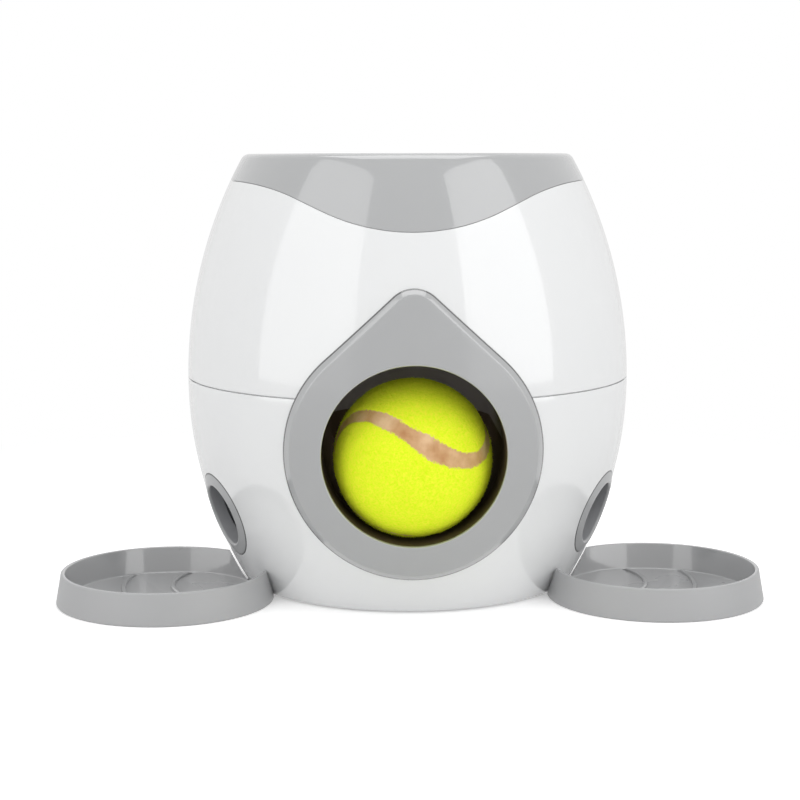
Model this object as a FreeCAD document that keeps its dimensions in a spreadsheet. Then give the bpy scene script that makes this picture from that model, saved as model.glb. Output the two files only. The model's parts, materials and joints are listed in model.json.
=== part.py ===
import FreeCAD, Part
import itertools
import math
import os

import Sketcher
from FreeCAD import Vector

# A barrel-shaped fetch-and-treat machine for a dog, worked by gravity. A ball dropped into the funnel of
# the cap falls down a tube, pushes a paddle wheel round, and rolls out at the round mouth. The wheel's
# shaft turns a pocketed rotor under each treat hopper, and the treats slide down two chutes into the dishes.
#
# Millimetres. The origin is on the floor under the barrel's axis, +Z is up and the mouth faces -Y.
# Left and right are as seen from the front, so left is -X.

doc = FreeCAD.newDocument("ball_treat_machine")
sheet = doc.addObject("Spreadsheet::Sheet", "Sizes")


class Size:
    """A number together with the expression that ties it to the sheet."""

    def __init__(self, value, text):
        self.value = value
        self.text = text

    def __add__(self, other):
        return pair(self, "+", other, self.value + as_size(other).value)

    def __radd__(self, other):
        return as_size(other) + self

    def __sub__(self, other):
        return pair(self, "-", other, self.value - as_size(other).value)

    def __rsub__(self, other):
        return as_size(other) - self

    def __mul__(self, other):
        return pair(self, "*", other, self.value * as_size(other).value)

    def __rmul__(self, other):
        return as_size(other) * self

    def __truediv__(self, other):
        return pair(self, "/", other, self.value / as_size(other).value)

    def __neg__(self):
        return Size(-self.value, f"(-1 * {self.text})")


def as_size(number):
    """A plain number as a size that is tied to nothing."""
    if isinstance(number, Size):
        return number
    return Size(float(number), f"({float(number)})")


def pair(first, sign, second, value):
    return Size(value, f"({first.text} {sign} {as_size(second).text})")


def root(size):
    return Size(math.sqrt(size.value), f"sqrt({size.text})")


def sine(angle):
    return Size(math.sin(math.radians(angle.value)), f"sin({angle.text})")


def cosine(angle):
    return Size(math.cos(math.radians(angle.value)), f"cos({angle.text})")


def tangent(angle):
    return Size(math.tan(math.radians(angle.value)), f"tan({angle.text})")


def arc_sine(ratio):
    return Size(math.degrees(math.asin(ratio.value)), f"(asin({ratio.text}) / (1 deg))")


def bearing(x, y):
    """Angle of a point round +Z, from +X."""
    return Size(math.degrees(math.atan2(y.value, x.value)), f"(atan2({y.text}; {x.text}) / (1 deg))")


rows = itertools.count(1)


def size(name, value):
    """A driving dimension: its name and value in the next row of the sheet."""
    row = next(rows)
    sheet.set(f"A{row}", name)
    sheet.set(f"B{row}", str(value))
    sheet.setAlias(f"B{row}", name)
    return Size(float(value), f"Sizes.{name}")


# Barrel: two arcs of revolution that meet at the belly.
body_height = size("body_height", 182.0)
belly_radius = size("belly_radius", 94.0)
belly_height = size("belly_height", 87.0)
base_radius = size("base_radius", 70.4)
top_radius = size("top_radius", 69.1)
foot_gap = size("foot_gap", 1.0)
wall = size("wall", 2.5)

# Seam between the two shells, with a lip of the lower shell inside the upper one.
seam_height = size("seam_height", 88.5)
seam_gap = size("seam_gap", 0.5)
lip_height = size("lip_height", 3.0)
lip_thickness = size("lip_thickness", 1.1)
lip_clearance = size("lip_clearance", 0.15)

# Wavy joint between the upper shell and the cap, as seen from the front.
wave_low = size("wave_low", 152.4)
wave_high = size("wave_high", 171.0)
wave_slope = size("wave_slope", 24.3)
wave_low_radius = size("wave_low_radius", 85.0)
wave_high_radius = size("wave_high_radius", 70.0)
cap_gap = size("cap_gap", 0.3)
cap_lap = size("cap_lap", 4.0)

# Cap: rim, funnel and the spout that drops into the ball tube.
rim_round = size("rim_round", 4.0)
rim_thickness = size("rim_thickness", 3.0)
mouth_round = size("mouth_round", 1.2)
funnel_radius = size("funnel_radius", 62.0)
funnel_bottom = size("funnel_bottom", 154.0)
funnel_wall = size("funnel_wall", 2.0)
throat_radius = size("throat_radius", 34.0)
spout_wall = size("spout_wall", 1.7)
spout_reach = size("spout_reach", 6.0)

# Mouth: a drop-shaped plate that wraps the barrel, and a dark sleeve for the ball behind it.
mouth_height = size("mouth_height", 66.5)
mouth_radius = size("mouth_radius", 36.0)
bezel_radius = size("bezel_radius", 51.0)
bezel_slope = size("bezel_slope", 42.6)
bezel_apex_round = size("bezel_apex_round", 12.0)
bezel_proud = size("bezel_proud", 2.0)
sleeve_wall = size("sleeve_wall", 2.5)
sleeve_end = size("sleeve_end", 62.0)
fit_gap = size("fit_gap", 0.3)
seat_gap = size("seat_gap", 0.05)
bezel_boss_radius = size("bezel_boss_radius", 2.9)

# Ball.
ball_radius = size("ball_radius", 31.75)
ball_reach = size("ball_reach", 66.0)
felt_thickness = size("felt_thickness", 1.6)
rubber_thickness = size("rubber_thickness", 3.3)

# Ball tunnel: the ramp below the seam and the drop tube above it.
guide_wall = size("guide_wall", 2.0)
ramp_slope = size("ramp_slope", 5.0)
ramp_step = size("ramp_step", 0.2)
guide_height = size("guide_height", 152.0)
flange_width = size("flange_width", 8.5)
flange_thickness = size("flange_thickness", 3.0)
flange_front = size("flange_front", 32.0)
flange_rear = size("flange_rear", 8.0)
leg_radius = size("leg_radius", 4.5)
leg_side = size("leg_side", 20.0)
leg_front = size("leg_front", 40.0)
leg_rear = size("leg_rear", 18.0)

# Paddle wheel, its shaft and bushes.
wheel_reach = size("wheel_reach", 46.0)
wheel_height = size("wheel_height", 118.0)
shaft_radius = size("shaft_radius", 2.5)
shaft_flat = size("shaft_flat", 1.9)
running_gap = size("running_gap", 0.05)
blade_radius = size("blade_radius", 26.0)
blade_side = size("blade_side", 15.0)
blade_thickness = size("blade_thickness", 3.0)
hub_radius = size("hub_radius", 7.0)
collar_radius = size("collar_radius", 4.2)
blade_gap = size("blade_gap", 1.2)
ear_inner = size("ear_inner", 34.0)
ear_thickness = size("ear_thickness", 4.0)
bush_radius = size("bush_radius", 4.5)
bush_flange_radius = size("bush_flange_radius", 6.5)
bush_flange = size("bush_flange", 1.2)
clip_radius = size("clip_radius", 4.6)
clip_thickness = size("clip_thickness", 0.8)
clip_groove_radius = size("clip_groove_radius", 2.0)

# Detent: a notched wheel on the shaft and a sprung pawl behind it.
detent_inner = size("detent_inner", 20.3)
detent_width = size("detent_width", 5.4)
detent_radius = size("detent_radius", 13.0)
notch_radius = size("notch_radius", 2.4)
notch_offset = size("notch_offset", 0.6)
nose_radius = size("nose_radius", 2.1)
cheek_gap = size("cheek_gap", 0.6)
cheek_thickness = size("cheek_thickness", 2.2)
cheek_low = size("cheek_low", 92.0)
cheek_high = size("cheek_high", 130.0)
cheek_rear = size("cheek_rear", 80.0)
pin_radius = size("pin_radius", 1.5)
pin_reach = size("pin_reach", 66.0)
pin_height = size("pin_height", 98.0)
pawl_hub_radius = size("pawl_hub_radius", 4.0)
pawl_tail = size("pawl_tail", 128.0)
spring_height = size("spring_height", 124.0)
spring_radius = size("spring_radius", 2.9)
spring_wire = size("spring_wire", 0.7)
spring_turns = size("spring_turns", 6)

# Treat rotors, hoppers and chutes.
rotor_radius = size("rotor_radius", 18.0)
rotor_width = size("rotor_width", 15.4)
rotor_hub_radius = size("rotor_hub_radius", 5.0)
pocket_radius = size("pocket_radius", 8.0)
rotor_gap = size("rotor_gap", 0.4)
hopper_wall = size("hopper_wall", 2.0)
hopper_slope = size("hopper_slope", 24.0)
hopper_front = size("hopper_front", 58.0)
hopper_top = size("hopper_top", 150.0)
hopper_flare_low = size("hopper_flare_low", 124.0)
hopper_flare_side = size("hopper_flare_side", 82.0)
outlet_reach = size("outlet_reach", 50.0)
spout_radius = size("spout_radius", 9.8)
spout_low = size("spout_low", 90.0)
chute_radius = size("chute_radius", 14.6)
chute_wall = size("chute_wall", 1.6)
chute_top = size("chute_top", 93.0)
chute_turn_height = size("chute_turn_height", 80.0)
chute_bend = size("chute_bend", 17.0)

# Side outlets and dishes.
outlet_azimuth = size("outlet_azimuth", 66.5)
outlet_height = size("outlet_height", 32.0)
ring_radius = size("ring_radius", 18.0)
ring_bore = size("ring_bore", 14.2)
ring_depth = size("ring_depth", 12.0)
ring_flange = size("ring_flange", 2.5)
socket_depth = size("socket_depth", 6.0)
chute_run_in = size("chute_run_in", 22.0)
dish_reach = size("dish_reach", 110.4)
dish_base_radius = size("dish_base_radius", 44.7)
dish_rim_radius = size("dish_rim_radius", 42.4)
dish_height = size("dish_height", 12.9)
dish_wall = size("dish_wall", 2.2)
dish_floor = size("dish_floor", 2.0)
dish_gap = size("dish_gap", 1.2)
dish_rib = size("dish_rib", 1.0)
dish_rib_centre = size("dish_rib_centre", 44.3)
dish_rib_inner = size("dish_rib_inner", 39.3)
dish_rib_outer = size("dish_rib_outer", 59.8)
tongue_width = size("tongue_width", 22.0)
tongue_thickness = size("tongue_thickness", 1.6)
tongue_lift = size("tongue_lift", 0.4)
tongue_reach = size("tongue_reach", 60.0)

# Base plate, feet and screws.
plate_low = size("plate_low", 3.0)
plate_thickness = size("plate_thickness", 2.5)
foot_radius = size("foot_radius", 6.5)
foot_reach = size("foot_reach", 52.0)
column_radius = size("column_radius", 4.5)
column_side = size("column_side", 43.0)
column_front = size("column_front", 49.0)
column_rear = size("column_rear", 64.0)
column_top = size("column_top", 95.0)
column_seat = size("column_seat", 70.0)
boss_reach = size("boss_reach", 62.0)
boss_azimuth = size("boss_azimuth", 110.0)
boss_top = size("boss_top", 18.0)
rib_thickness = size("rib_thickness", 2.0)
screw_radius = size("screw_radius", 1.5)
screw_head_radius = size("screw_head_radius", 2.8)
screw_head = size("screw_head", 1.8)
screw_hole_gap = size("screw_hole_gap", 0.2)
screw_reach = size("screw_reach", 12.0)

doc.recompute()

# Sizes that follow from the driving ones.
upper_rise = body_height - belly_height
upper_draw = belly_radius - top_radius
lower_rise = belly_height - foot_gap
lower_draw = belly_radius - base_radius
upper_arc = (upper_rise * upper_rise + upper_draw * upper_draw) / (2 * upper_draw)
lower_arc = (lower_rise * lower_rise + lower_draw * lower_draw) / (2 * lower_draw)
lip_inset = wall - lip_thickness
seam_low = seam_height - seam_gap / 2
seam_high = seam_height + seam_gap / 2
sleeve_radius = mouth_radius + sleeve_wall
tube_radius = mouth_radius + guide_wall
tunnel_front = sleeve_end - fit_gap
bore_radius = shaft_radius + running_gap
ear_outer = ear_inner + ear_thickness
bush_inner = ear_inner - bush_flange
hopper_inner = ear_outer + fit_gap
rotor_inner = hopper_inner + hopper_wall + rotor_gap
rotor_outer = rotor_inner + rotor_width
hopper_outer = rotor_outer + rotor_gap + hopper_wall
rotor_middle = (rotor_inner + rotor_outer) / 2
trough_radius = rotor_radius + rotor_gap
shell_radius = trough_radius + hopper_wall
clip_inner = rotor_outer + fit_gap
detent_outer = detent_inner + detent_width
detent_middle = detent_inner + detent_width / 2
cheek_inner = detent_inner - cheek_gap
cheek_outer = detent_outer + cheek_gap
nose_reach = wheel_reach + detent_radius + notch_offset
plate_top = plate_low + plate_thickness
boss_low = plate_top + fit_gap
screw_bore = screw_radius + running_gap
screw_hole = screw_radius + screw_hole_gap
outlet_yaw = 90 - outlet_azimuth
outlet_sides = (("right", -outlet_yaw), ("left", outlet_yaw - 180))
outlet_tilt = arc_sine((belly_height - outlet_height) / lower_arc)
outlet_clear = ring_depth
spring_post_length = 2 * spring_wire
pawl_back = pin_reach + pawl_hub_radius / 8
far = 2 * belly_radius


def barrel_arc(height):
    return upper_arc if height.value >= belly_height.value else lower_arc


def barrel_radius(height, inset=0):
    """Radius of the barrel at a height, measured inset from its outer face."""
    height = as_size(height)
    arc = barrel_arc(height)
    rise = height - belly_height
    reach = arc - inset
    return belly_radius - arc + root(reach * reach - rise * rise)


def barrel_face(side, height, inset=0):
    """Distance from the barrel's axis to its face, to the front, at a place beside the middle."""
    radius = barrel_radius(height, inset)
    return root(radius * radius - side * side)


def barrel_side(low, high, inset=0, upward=True):
    """Corners of a profile along the barrel's side, with arcs between them."""
    heights = [as_size(low), as_size(high)]
    if low.value < belly_height.value < high.value:
        heights.insert(1, belly_height)
    turn = "left"
    if not upward:
        heights.reverse()
        turn = "right"
    corners = []
    for here, there in zip(heights, heights[1:]):
        middle = Size((here.value + there.value) / 2, "")
        arc = barrel_arc(middle) - inset
        corners.append((barrel_radius(here, inset), here, arc, turn))
    corners.append((barrel_radius(heights[-1], inset), heights[-1]))
    return corners


class Round:
    """A circle in a sketch."""

    def __init__(self, across, up, radius):
        self.across = as_size(across)
        self.up = as_size(up)
        self.radius = radius


def tie(sketch, kind, where, target, name, others=()):
    """One constraint whose value follows the sheet."""
    index = sketch.addConstraint(Sketcher.Constraint(kind, *others, *where, target.value))
    sketch.renameConstraint(index, name)
    sketch.setExpression(f"Constraints.{name}", target.text)


def tie_point(sketch, place, across, up, name):
    """Hold a point of a sketch at two distances from its origin."""
    for kind, axis, target, letter in (("DistanceX", -2, across, "x"), ("DistanceY", -1, up, "y")):
        if target.value == 0:
            sketch.addConstraint(Sketcher.Constraint("PointOnObject", *place, axis))
        else:
            tie(sketch, kind, place, target, letter + name, (-1, 1))


def add_arc(sketch, start, end, radius, turn):
    """An arc under a half circle. Its centre is to the left or the right of the way along it."""
    chord = end.sub(start)
    half = chord.Length / 2
    lift = math.sqrt(radius * radius - half * half)
    sideways = Vector(-chord.y, chord.x, 0).normalize()
    if turn == "right":
        sideways = sideways.negative()
        start, end = end, start
    centre = (start.add(end)).multiply(0.5).add(sideways.multiply(lift))
    first = math.atan2(start.y - centre.y, start.x - centre.x)
    last = math.atan2(end.y - centre.y, end.x - centre.x)
    if last < first:
        last += 2 * math.pi
    circle = Part.Circle(centre, Vector(0, 0, 1), radius)
    index = sketch.addGeometry(Part.ArcOfCircle(circle, first, last), False)
    return (index, 1, 2) if turn == "left" else (index, 2, 1)


def draw_loop(sketch, corners, name):
    """A closed outline: lines, and arcs where a corner also gives a radius and a turn."""
    points = [Vector(as_size(corner[0]).value, as_size(corner[1]).value, 0) for corner in corners]
    runs = []
    for number, corner in enumerate(corners):
        start = points[number]
        end = points[(number + 1) % len(corners)]
        if len(corner) == 4:
            index, first, last = add_arc(sketch, start, end, corner[2].value, corner[3])
            tie(sketch, "Radius", (index,), corner[2], f"r{name}_{number}")
        else:
            index = sketch.addGeometry(Part.LineSegment(start, end), False)
            first, last = 1, 2
        runs.append((index, first, last))
    for number, corner in enumerate(corners):
        before = runs[number - 1]
        here = runs[number]
        sketch.addConstraint(Sketcher.Constraint("Coincident", before[0], before[2], here[0], here[1]))
        tie_point(sketch, (here[0], here[1]), as_size(corner[0]), as_size(corner[1]), f"{name}_{number}")


def add_sketch(body, plane, loops, start=0):
    """A sketch of closed outlines and circles on an origin plane of a body, or beside it."""
    sketch = body.newObject("Sketcher::SketchObject", body.Name + "_sketch")
    origin_plane = [part for part in body.Origin.OriginFeatures if part.Role == plane][0]
    sketch.AttachmentSupport = [(origin_plane, "")]
    sketch.MapMode = "FlatFace"
    sketch.setExpression("AttachmentOffset.Base.z", as_size(start).text)
    for number, loop in enumerate(loops):
        if isinstance(loop, Round):
            centre = Vector(loop.across.value, loop.up.value, 0)
            circle = Part.Circle(centre, Vector(0, 0, 1), loop.radius.value)
            index = sketch.addGeometry(circle, False)
            tie(sketch, "Radius", (index,), loop.radius, f"r{number}")
            tie_point(sketch, (index, 3), loop.across, loop.up, str(number))
        else:
            draw_loop(sketch, loop, str(number))
    return sketch


def new_body(name):
    body = doc.addObject("PartDesign::Body", name)
    body.Label = name
    return body


def pad(body, plane, loops, start, length):
    """Material from a plane at a distance along its normal. The XZ plane's normal is the front, -Y."""
    feature = body.newObject("PartDesign::Pad", body.Name + "_pad")
    feature.Profile = add_sketch(body, plane, loops, start)
    feature.setExpression("Length", as_size(length).text)
    return feature


def pocket(body, plane, loops, start, length):
    """A cut from a plane at a distance along its normal, in the direction of the normal."""
    feature = body.newObject("PartDesign::Pocket", body.Name + "_pocket")
    feature.Profile = add_sketch(body, plane, loops, start)
    feature.Reversed = True
    feature.setExpression("Length", as_size(length).text)
    return feature


def revolve(body, loops, kind="PartDesign::Revolution"):
    """A full turn of a profile about the body's own Z axis."""
    feature = body.newObject(kind, body.Name + "_turned")
    sketch = add_sketch(body, "XZ_Plane", loops)
    feature.Profile = sketch
    feature.ReferenceAxis = (sketch, ["V_Axis"])
    feature.Angle = 360
    return feature


def groove(body, loops):
    return revolve(body, loops, "PartDesign::Groove")


def ring_pattern(body, feature, count):
    """Copies of a feature in equal steps round the body's own X axis."""
    doc.recompute()
    pattern = body.newObject("PartDesign::PolarPattern", body.Name + "_pattern")
    pattern.Originals = [feature]
    axis = [part for part in body.Origin.OriginFeatures if part.Role == "X_Axis"][0]
    pattern.Axis = (axis, [""])
    pattern.Angle = 360
    pattern.Occurrences = count
    body.Tip = pattern


def round_edges(body, radius, chosen):
    """Fillet the edges of a body's last feature that a test picks out."""
    doc.recompute()
    base = body.Tip
    names = [f"Edge{n}" for n, edge in enumerate(base.Shape.Edges, 1) if chosen(edge)]
    feature = body.newObject("PartDesign::Fillet", body.Name + "_round")
    feature.Base = (base, names)
    feature.setExpression("Radius", radius.text)


def prism(name, plane, loops, start, length):
    body = new_body(name)
    pad(body, plane, loops, start, length)
    return body


def place(item, x=0, y=0, z=0, yaw=0, pitch=0, roll=0):
    """Bind an object's place and turn to the sheet."""
    bound = {"Base.x": x, "Base.y": y, "Base.z": z}
    bound.update({"Rotation.Yaw": yaw, "Rotation.Pitch": pitch, "Rotation.Roll": roll})
    for name, target in bound.items():
        if isinstance(target, Size) or target:
            item.setExpression("Placement." + name, as_size(target).text)
    return item


def cylinder(name, radius, length, x=0, y=0, z=0, yaw=0, pitch=0, roll=0):
    """A cylinder that starts at a point and stands on +Z until it is turned."""
    item = doc.addObject("Part::Cylinder", name)
    item.setExpression("Radius", as_size(radius).text)
    item.setExpression("Height", as_size(length).text)
    return place(item, x, y, z, yaw, pitch, roll)


def box(name, x_range, y_range, z_range):
    """A block between two limits on each axis."""
    item = doc.addObject("Part::Box", name)
    for prop, (low, high) in zip(("Length", "Width", "Height"), (x_range, y_range, z_range)):
        item.setExpression(prop, (as_size(high) - low).text)
    return place(item, x_range[0], y_range[0], z_range[0])


def fuse(name, *shapes):
    item = doc.addObject("Part::MultiFuse", name)
    item.Shapes = list(shapes)
    return item


def common(name, *shapes):
    item = doc.addObject("Part::MultiCommon", name)
    item.Shapes = list(shapes)
    return item


def cut(name, base, *tools):
    item = doc.addObject("Part::Cut", name)
    item.Base = base
    item.Tool = tools[0] if len(tools) == 1 else fuse(name + "_tools", *tools)
    return item


def mirror(name, source):
    item = doc.addObject("Part::Mirroring", name)
    item.Source = source
    item.Normal = Vector(1, 0, 0)
    return item


def group(name, *shapes):
    item = doc.addObject("Part::Compound", name)
    item.Links = list(shapes)
    return item


def barrel_solid(name, low, high, inset):
    """The solid of revolution inside the barrel's face, or outside it where the inset is negative."""
    body = new_body(name)
    side = barrel_side(low, high, inset)
    revolve(body, [side + [(0, high), (0, low)]])
    return body


def screw(name, length, x, y, z, pitch=0, roll=0):
    """A pan-head screw whose shank starts at the point and whose head stands behind it."""
    body = new_body(name)
    shank = [(0, -screw_head), (screw_head_radius, -screw_head), (screw_head_radius, 0)]
    shank += [(screw_radius, 0), (screw_radius, length - 1), (0, length)]
    revolve(body, [shank])
    slot = screw_head_radius * 0.6
    width = screw_head_radius * 0.15
    for across, up in ((slot, width), (width, slot)):
        pocket(body, "XY_Plane", [rectangle(-across, across, -up, up)], -screw_head, screw_head * 0.6)
    return place(body, x, y, z, 0, pitch, roll)


def rectangle(left, right, low, high):
    return [(left, low), (right, low), (right, high), (left, high)]


def wave_outline(shift, above):
    """The region above or below the cap's wavy joint, as seen from the front."""
    low = wave_low + shift
    high = wave_high + shift
    low_side = wave_low_radius * sine(wave_slope)
    low_end = low + wave_low_radius * (1 - cosine(wave_slope))
    corner = low_side + (high - low_end) / tangent(wave_slope)
    reach = wave_high_radius * tangent(wave_slope / 2)
    high_side = corner - reach * cosine(wave_slope)
    high_start = high - reach * sine(wave_slope)
    high_end = corner + reach
    edge = far if above else -1 * far
    return [
        (-far, high),
        (-high_end, high, wave_high_radius, "right"),
        (-high_side, high_start),
        (-low_side, low_end, wave_low_radius, "left"),
        (low_side, low_end),
        (high_side, high_start, wave_high_radius, "right"),
        (high_end, high),
        (far, high),
        (far, belly_height + edge),
        (-far, belly_height + edge),
    ]


def drop_outline():
    """The bezel's outline: a circle round the mouth, two tangent lines and a rounded apex."""
    apex = mouth_height + (bezel_radius - bezel_apex_round) / cosine(bezel_slope)
    foot_side = bezel_radius * sine(bezel_slope)
    foot = mouth_height + bezel_radius * cosine(bezel_slope)
    top_side = bezel_apex_round * sine(bezel_slope)
    top = apex + bezel_apex_round * cosine(bezel_slope)
    return [
        (foot_side, foot),
        (top_side, top, bezel_apex_round, "left"),
        (-top_side, top),
        (-foot_side, foot, bezel_radius, "left"),
        (0, mouth_height - bezel_radius, bezel_radius, "left"),
    ]


def shaft_outline(gap):
    """A round shaft with one flat, as a closed outline in the plane across it."""
    radius = shaft_radius + gap
    flat = shaft_flat + gap
    side = root(radius * radius - flat * flat)
    return [(side, flat), (-side, flat, radius, "left"), (0, -radius, radius, "left")]


# Places of the outlets and the screws, used by each piece that they pass through.
outlet_face = barrel_radius(outlet_height)
bezel_low = mouth_height - bezel_radius - 5
bezel_high = mouth_height + bezel_radius / cosine(bezel_slope) + 5
bezel_screw_side = (sleeve_radius + bezel_radius) / 2 * cosine(as_size(45)) + fit_gap
bezel_screw_places = [
    (side, mouth_height + rise)
    for side in (-bezel_screw_side, bezel_screw_side)
    for rise in (-bezel_screw_side, bezel_screw_side)
]
column_places = [(-column_side, -column_front), (column_side, -column_front), (as_size(0), column_rear)]
boss_places = [
    (as_size(0), -boss_reach),
    (-boss_reach * sine(boss_azimuth), -boss_reach * cosine(boss_azimuth)),
    (boss_reach * sine(boss_azimuth), -boss_reach * cosine(boss_azimuth)),
]
leg_places = [(side, reach) for side in (-leg_side, leg_side) for reach in (-leg_front, leg_rear)]
flange_screw_side = tube_radius + flange_width / 2 - 1
flange_places = [
    (side, reach)
    for side in (-flange_screw_side, flange_screw_side)
    for reach in (6 - flange_front, flange_rear - 6)
]
hopper_boss_radius = column_radius - 0.5
hopper_boss_depth = 5.5
hopper_places = [
    (wheel_reach - 22, wheel_height - 16.5),
    (wheel_reach + shell_radius + 3.2, wheel_height + 12),
]


def turned(name, item, x=0, y=0, z=0, yaw=0):
    """An object that was modelled along +X, turned about +Z and then moved."""
    return place(group(name, item), x, y, z, yaw)


def radial_rib(name, x, y, low, high):
    """A plate from a boss out to the barrel's wall, along the radius through the boss."""
    rib = box(name, (0, far), (-rib_thickness / 2, rib_thickness / 2), (0, high - low))
    return turned(name + "_turned", rib, x, y, low, bearing(x, y))


def outlet_cylinder(name, radius, start, end):
    """A cylinder on the axis of a side outlet, square to the barrel's face, before it is turned."""
    end = as_size(end)
    reach = outlet_face + end * cosine(outlet_tilt)
    height = outlet_height - end * sine(outlet_tilt)
    return cylinder(name, radius, end - start, reach, 0, height, 0, outlet_tilt - 90)


def make_lower_shell():
    """Lower half of the casing, open below, with screw columns and short bosses on ribs."""
    shell = new_body("lower_shell_wall")
    lip_top = seam_height + lip_height
    outline = barrel_side(foot_gap, seam_low)
    outline += [(barrel_radius(seam_low, lip_inset), seam_low), (barrel_radius(lip_top, lip_inset), lip_top)]
    outline += barrel_side(foot_gap, lip_top, wall, False)
    revolve(shell, [outline])
    posts = []
    bores = []
    for number, (x, y) in enumerate(column_places):
        posts.append(cylinder(f"column_{number}", column_radius, seam_low - boss_low, x, y, boss_low))
        posts.append(radial_rib(f"column_rib_{number}", x, y, boss_low, seam_low))
        bores.append(cylinder(f"column_hole_{number}", screw_hole, far, x, y, 0))
        bores.append(cylinder(f"column_bore_{number}", screw_head_radius + fit_gap, column_seat, x, y, 0))
    for number, (x, y) in enumerate(boss_places):
        posts.append(cylinder(f"boss_{number}", column_radius, boss_top - boss_low, x, y, boss_low))
        posts.append(radial_rib(f"boss_rib_{number}", x, y, boss_low, boss_top))
        bores.append(cylinder(f"boss_bore_{number}", screw_bore, boss_top - 2, x, y, 0))
    core = barrel_solid("lower_core", foot_gap, seam_low, wall / 2)
    inside = common("lower_posts_trimmed", fuse("lower_posts", *posts), core)
    openings = [cylinder("mouth_opening_low", sleeve_radius + fit_gap, far, 0, 0, mouth_height, 0, 0, 90)]
    for number, (x, z) in enumerate(bezel_screw_places):
        hole = bezel_boss_radius + fit_gap
        openings.append(cylinder(f"bezel_hole_low_{number}", hole, far, x, 0, z, 0, 0, 90))
    notch_side = (tongue_width + dish_gap) / 2
    for side, yaw in outlet_sides:
        hole = outlet_cylinder(f"outlet_hole_{side}", ring_radius + fit_gap / 2, -ring_depth, outlet_clear)
        openings.append(turned(f"outlet_hole_{side}_turned", hole, yaw=yaw))
        across = (-notch_side, notch_side)
        notch = box(f"notch_{side}", (tongue_reach, far), across, (0, plate_low - fit_gap))
        openings.append(turned(f"notch_{side}_turned", notch, yaw=yaw))
    opened = cut("lower_shell_bored", fuse("lower_shell_fused", shell, inside), *bores)
    return cut("lower_shell", opened, *openings)


def make_upper_shell():
    """Upper half of the casing, with a thin lip that stands inside the cap."""
    shell = new_body("upper_shell_wall")
    rebate_top = seam_height + lip_height + fit_gap
    rebate = lip_inset - lip_clearance
    outline = barrel_side(seam_high, wave_high + cap_lap)
    outline += barrel_side(rebate_top, wave_high + cap_lap, wall, False)
    outline += [(barrel_radius(height, rebate), height) for height in (rebate_top, seam_high)]
    revolve(shell, [outline])
    pocket(shell, "XZ_Plane", [wave_outline(-cap_gap / 2, True)], -far, 2 * far)
    lip = barrel_side(wave_low - cap_lap, wave_high + cap_lap, lip_inset)
    lip += barrel_side(wave_low - cap_lap, wave_high + cap_lap, wall, False)
    revolve(shell, [lip])
    pocket(shell, "XZ_Plane", [wave_outline(cap_lap, True)], -far, 2 * far)
    holes = [Round(x, z, bezel_boss_radius + fit_gap) for x, z in bezel_screw_places]
    pocket(shell, "XZ_Plane", [Round(0, mouth_height, sleeve_radius + fit_gap)], 0, far)
    pocket(shell, "XZ_Plane", holes, 0, far)
    posts = []
    bores = []
    for number, (x, y) in enumerate(column_places):
        posts.append(cylinder(f"socket_{number}", column_radius, column_top - seam_high, x, y, seam_high))
        posts.append(radial_rib(f"socket_rib_{number}", x, y, seam_high + lip_height + 1, column_top))
        bores.append(cylinder(f"socket_bore_{number}", screw_bore, column_top - 1, x, y, 0))
    core = barrel_solid("upper_core", seam_high, column_top, wall / 2)
    inside = common("upper_posts_trimmed", fuse("upper_posts", *posts), core)
    return cut("upper_shell", fuse("upper_shell_fused", shell, inside), *bores)


def make_top_cap():
    """Grey collar with a wavy edge, whose rim turns in to a funnel and a spout for the ball."""
    cap = new_body("top_cap")
    skirt_low = wave_low - cap_lap
    collar = barrel_side(skirt_low, body_height) + barrel_side(skirt_low, body_height, wall, False)
    revolve(cap, [collar])
    pocket(cap, "XZ_Plane", [wave_outline(cap_lap + fit_gap, False)], -far, 2 * far)
    skirt_inset = lip_inset - lip_clearance
    skirt_high = body_height - rim_round
    skirt = barrel_side(skirt_low, skirt_high) + barrel_side(skirt_low, skirt_high, skirt_inset, False)
    revolve(cap, [skirt])
    pocket(cap, "XZ_Plane", [wave_outline(cap_gap / 2, False)], -far, 2 * far)
    rim_low = body_height - rim_thickness
    spout = throat_radius + spout_wall
    funnel = [
        (barrel_radius(body_height, wall / 2), body_height),
        (funnel_radius, body_height),
        (throat_radius, funnel_bottom),
        (throat_radius, funnel_bottom - spout_reach),
        (spout, funnel_bottom - spout_reach),
        (spout, funnel_bottom - funnel_wall / 2),
        (funnel_radius + funnel_wall, rim_low),
        (barrel_radius(rim_low, wall / 2), rim_low),
    ]
    revolve(cap, [funnel])
    round_edges(cap, rim_round, lambda edge: is_ring(edge, barrel_radius(body_height), body_height))
    round_edges(cap, mouth_round, lambda edge: is_ring(edge, funnel_radius, body_height))
    return cap


def is_ring(edge, radius, height):
    """True for a round edge of a radius about the barrel's axis at a height."""
    corner = edge.Vertexes[0].Point
    reach = math.hypot(corner.x, corner.y)
    flat = edge.BoundBox.ZLength < 1e-6
    return flat and abs(reach - radius.value) < 1e-3 and abs(corner.z - height.value) < 1e-3


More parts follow.
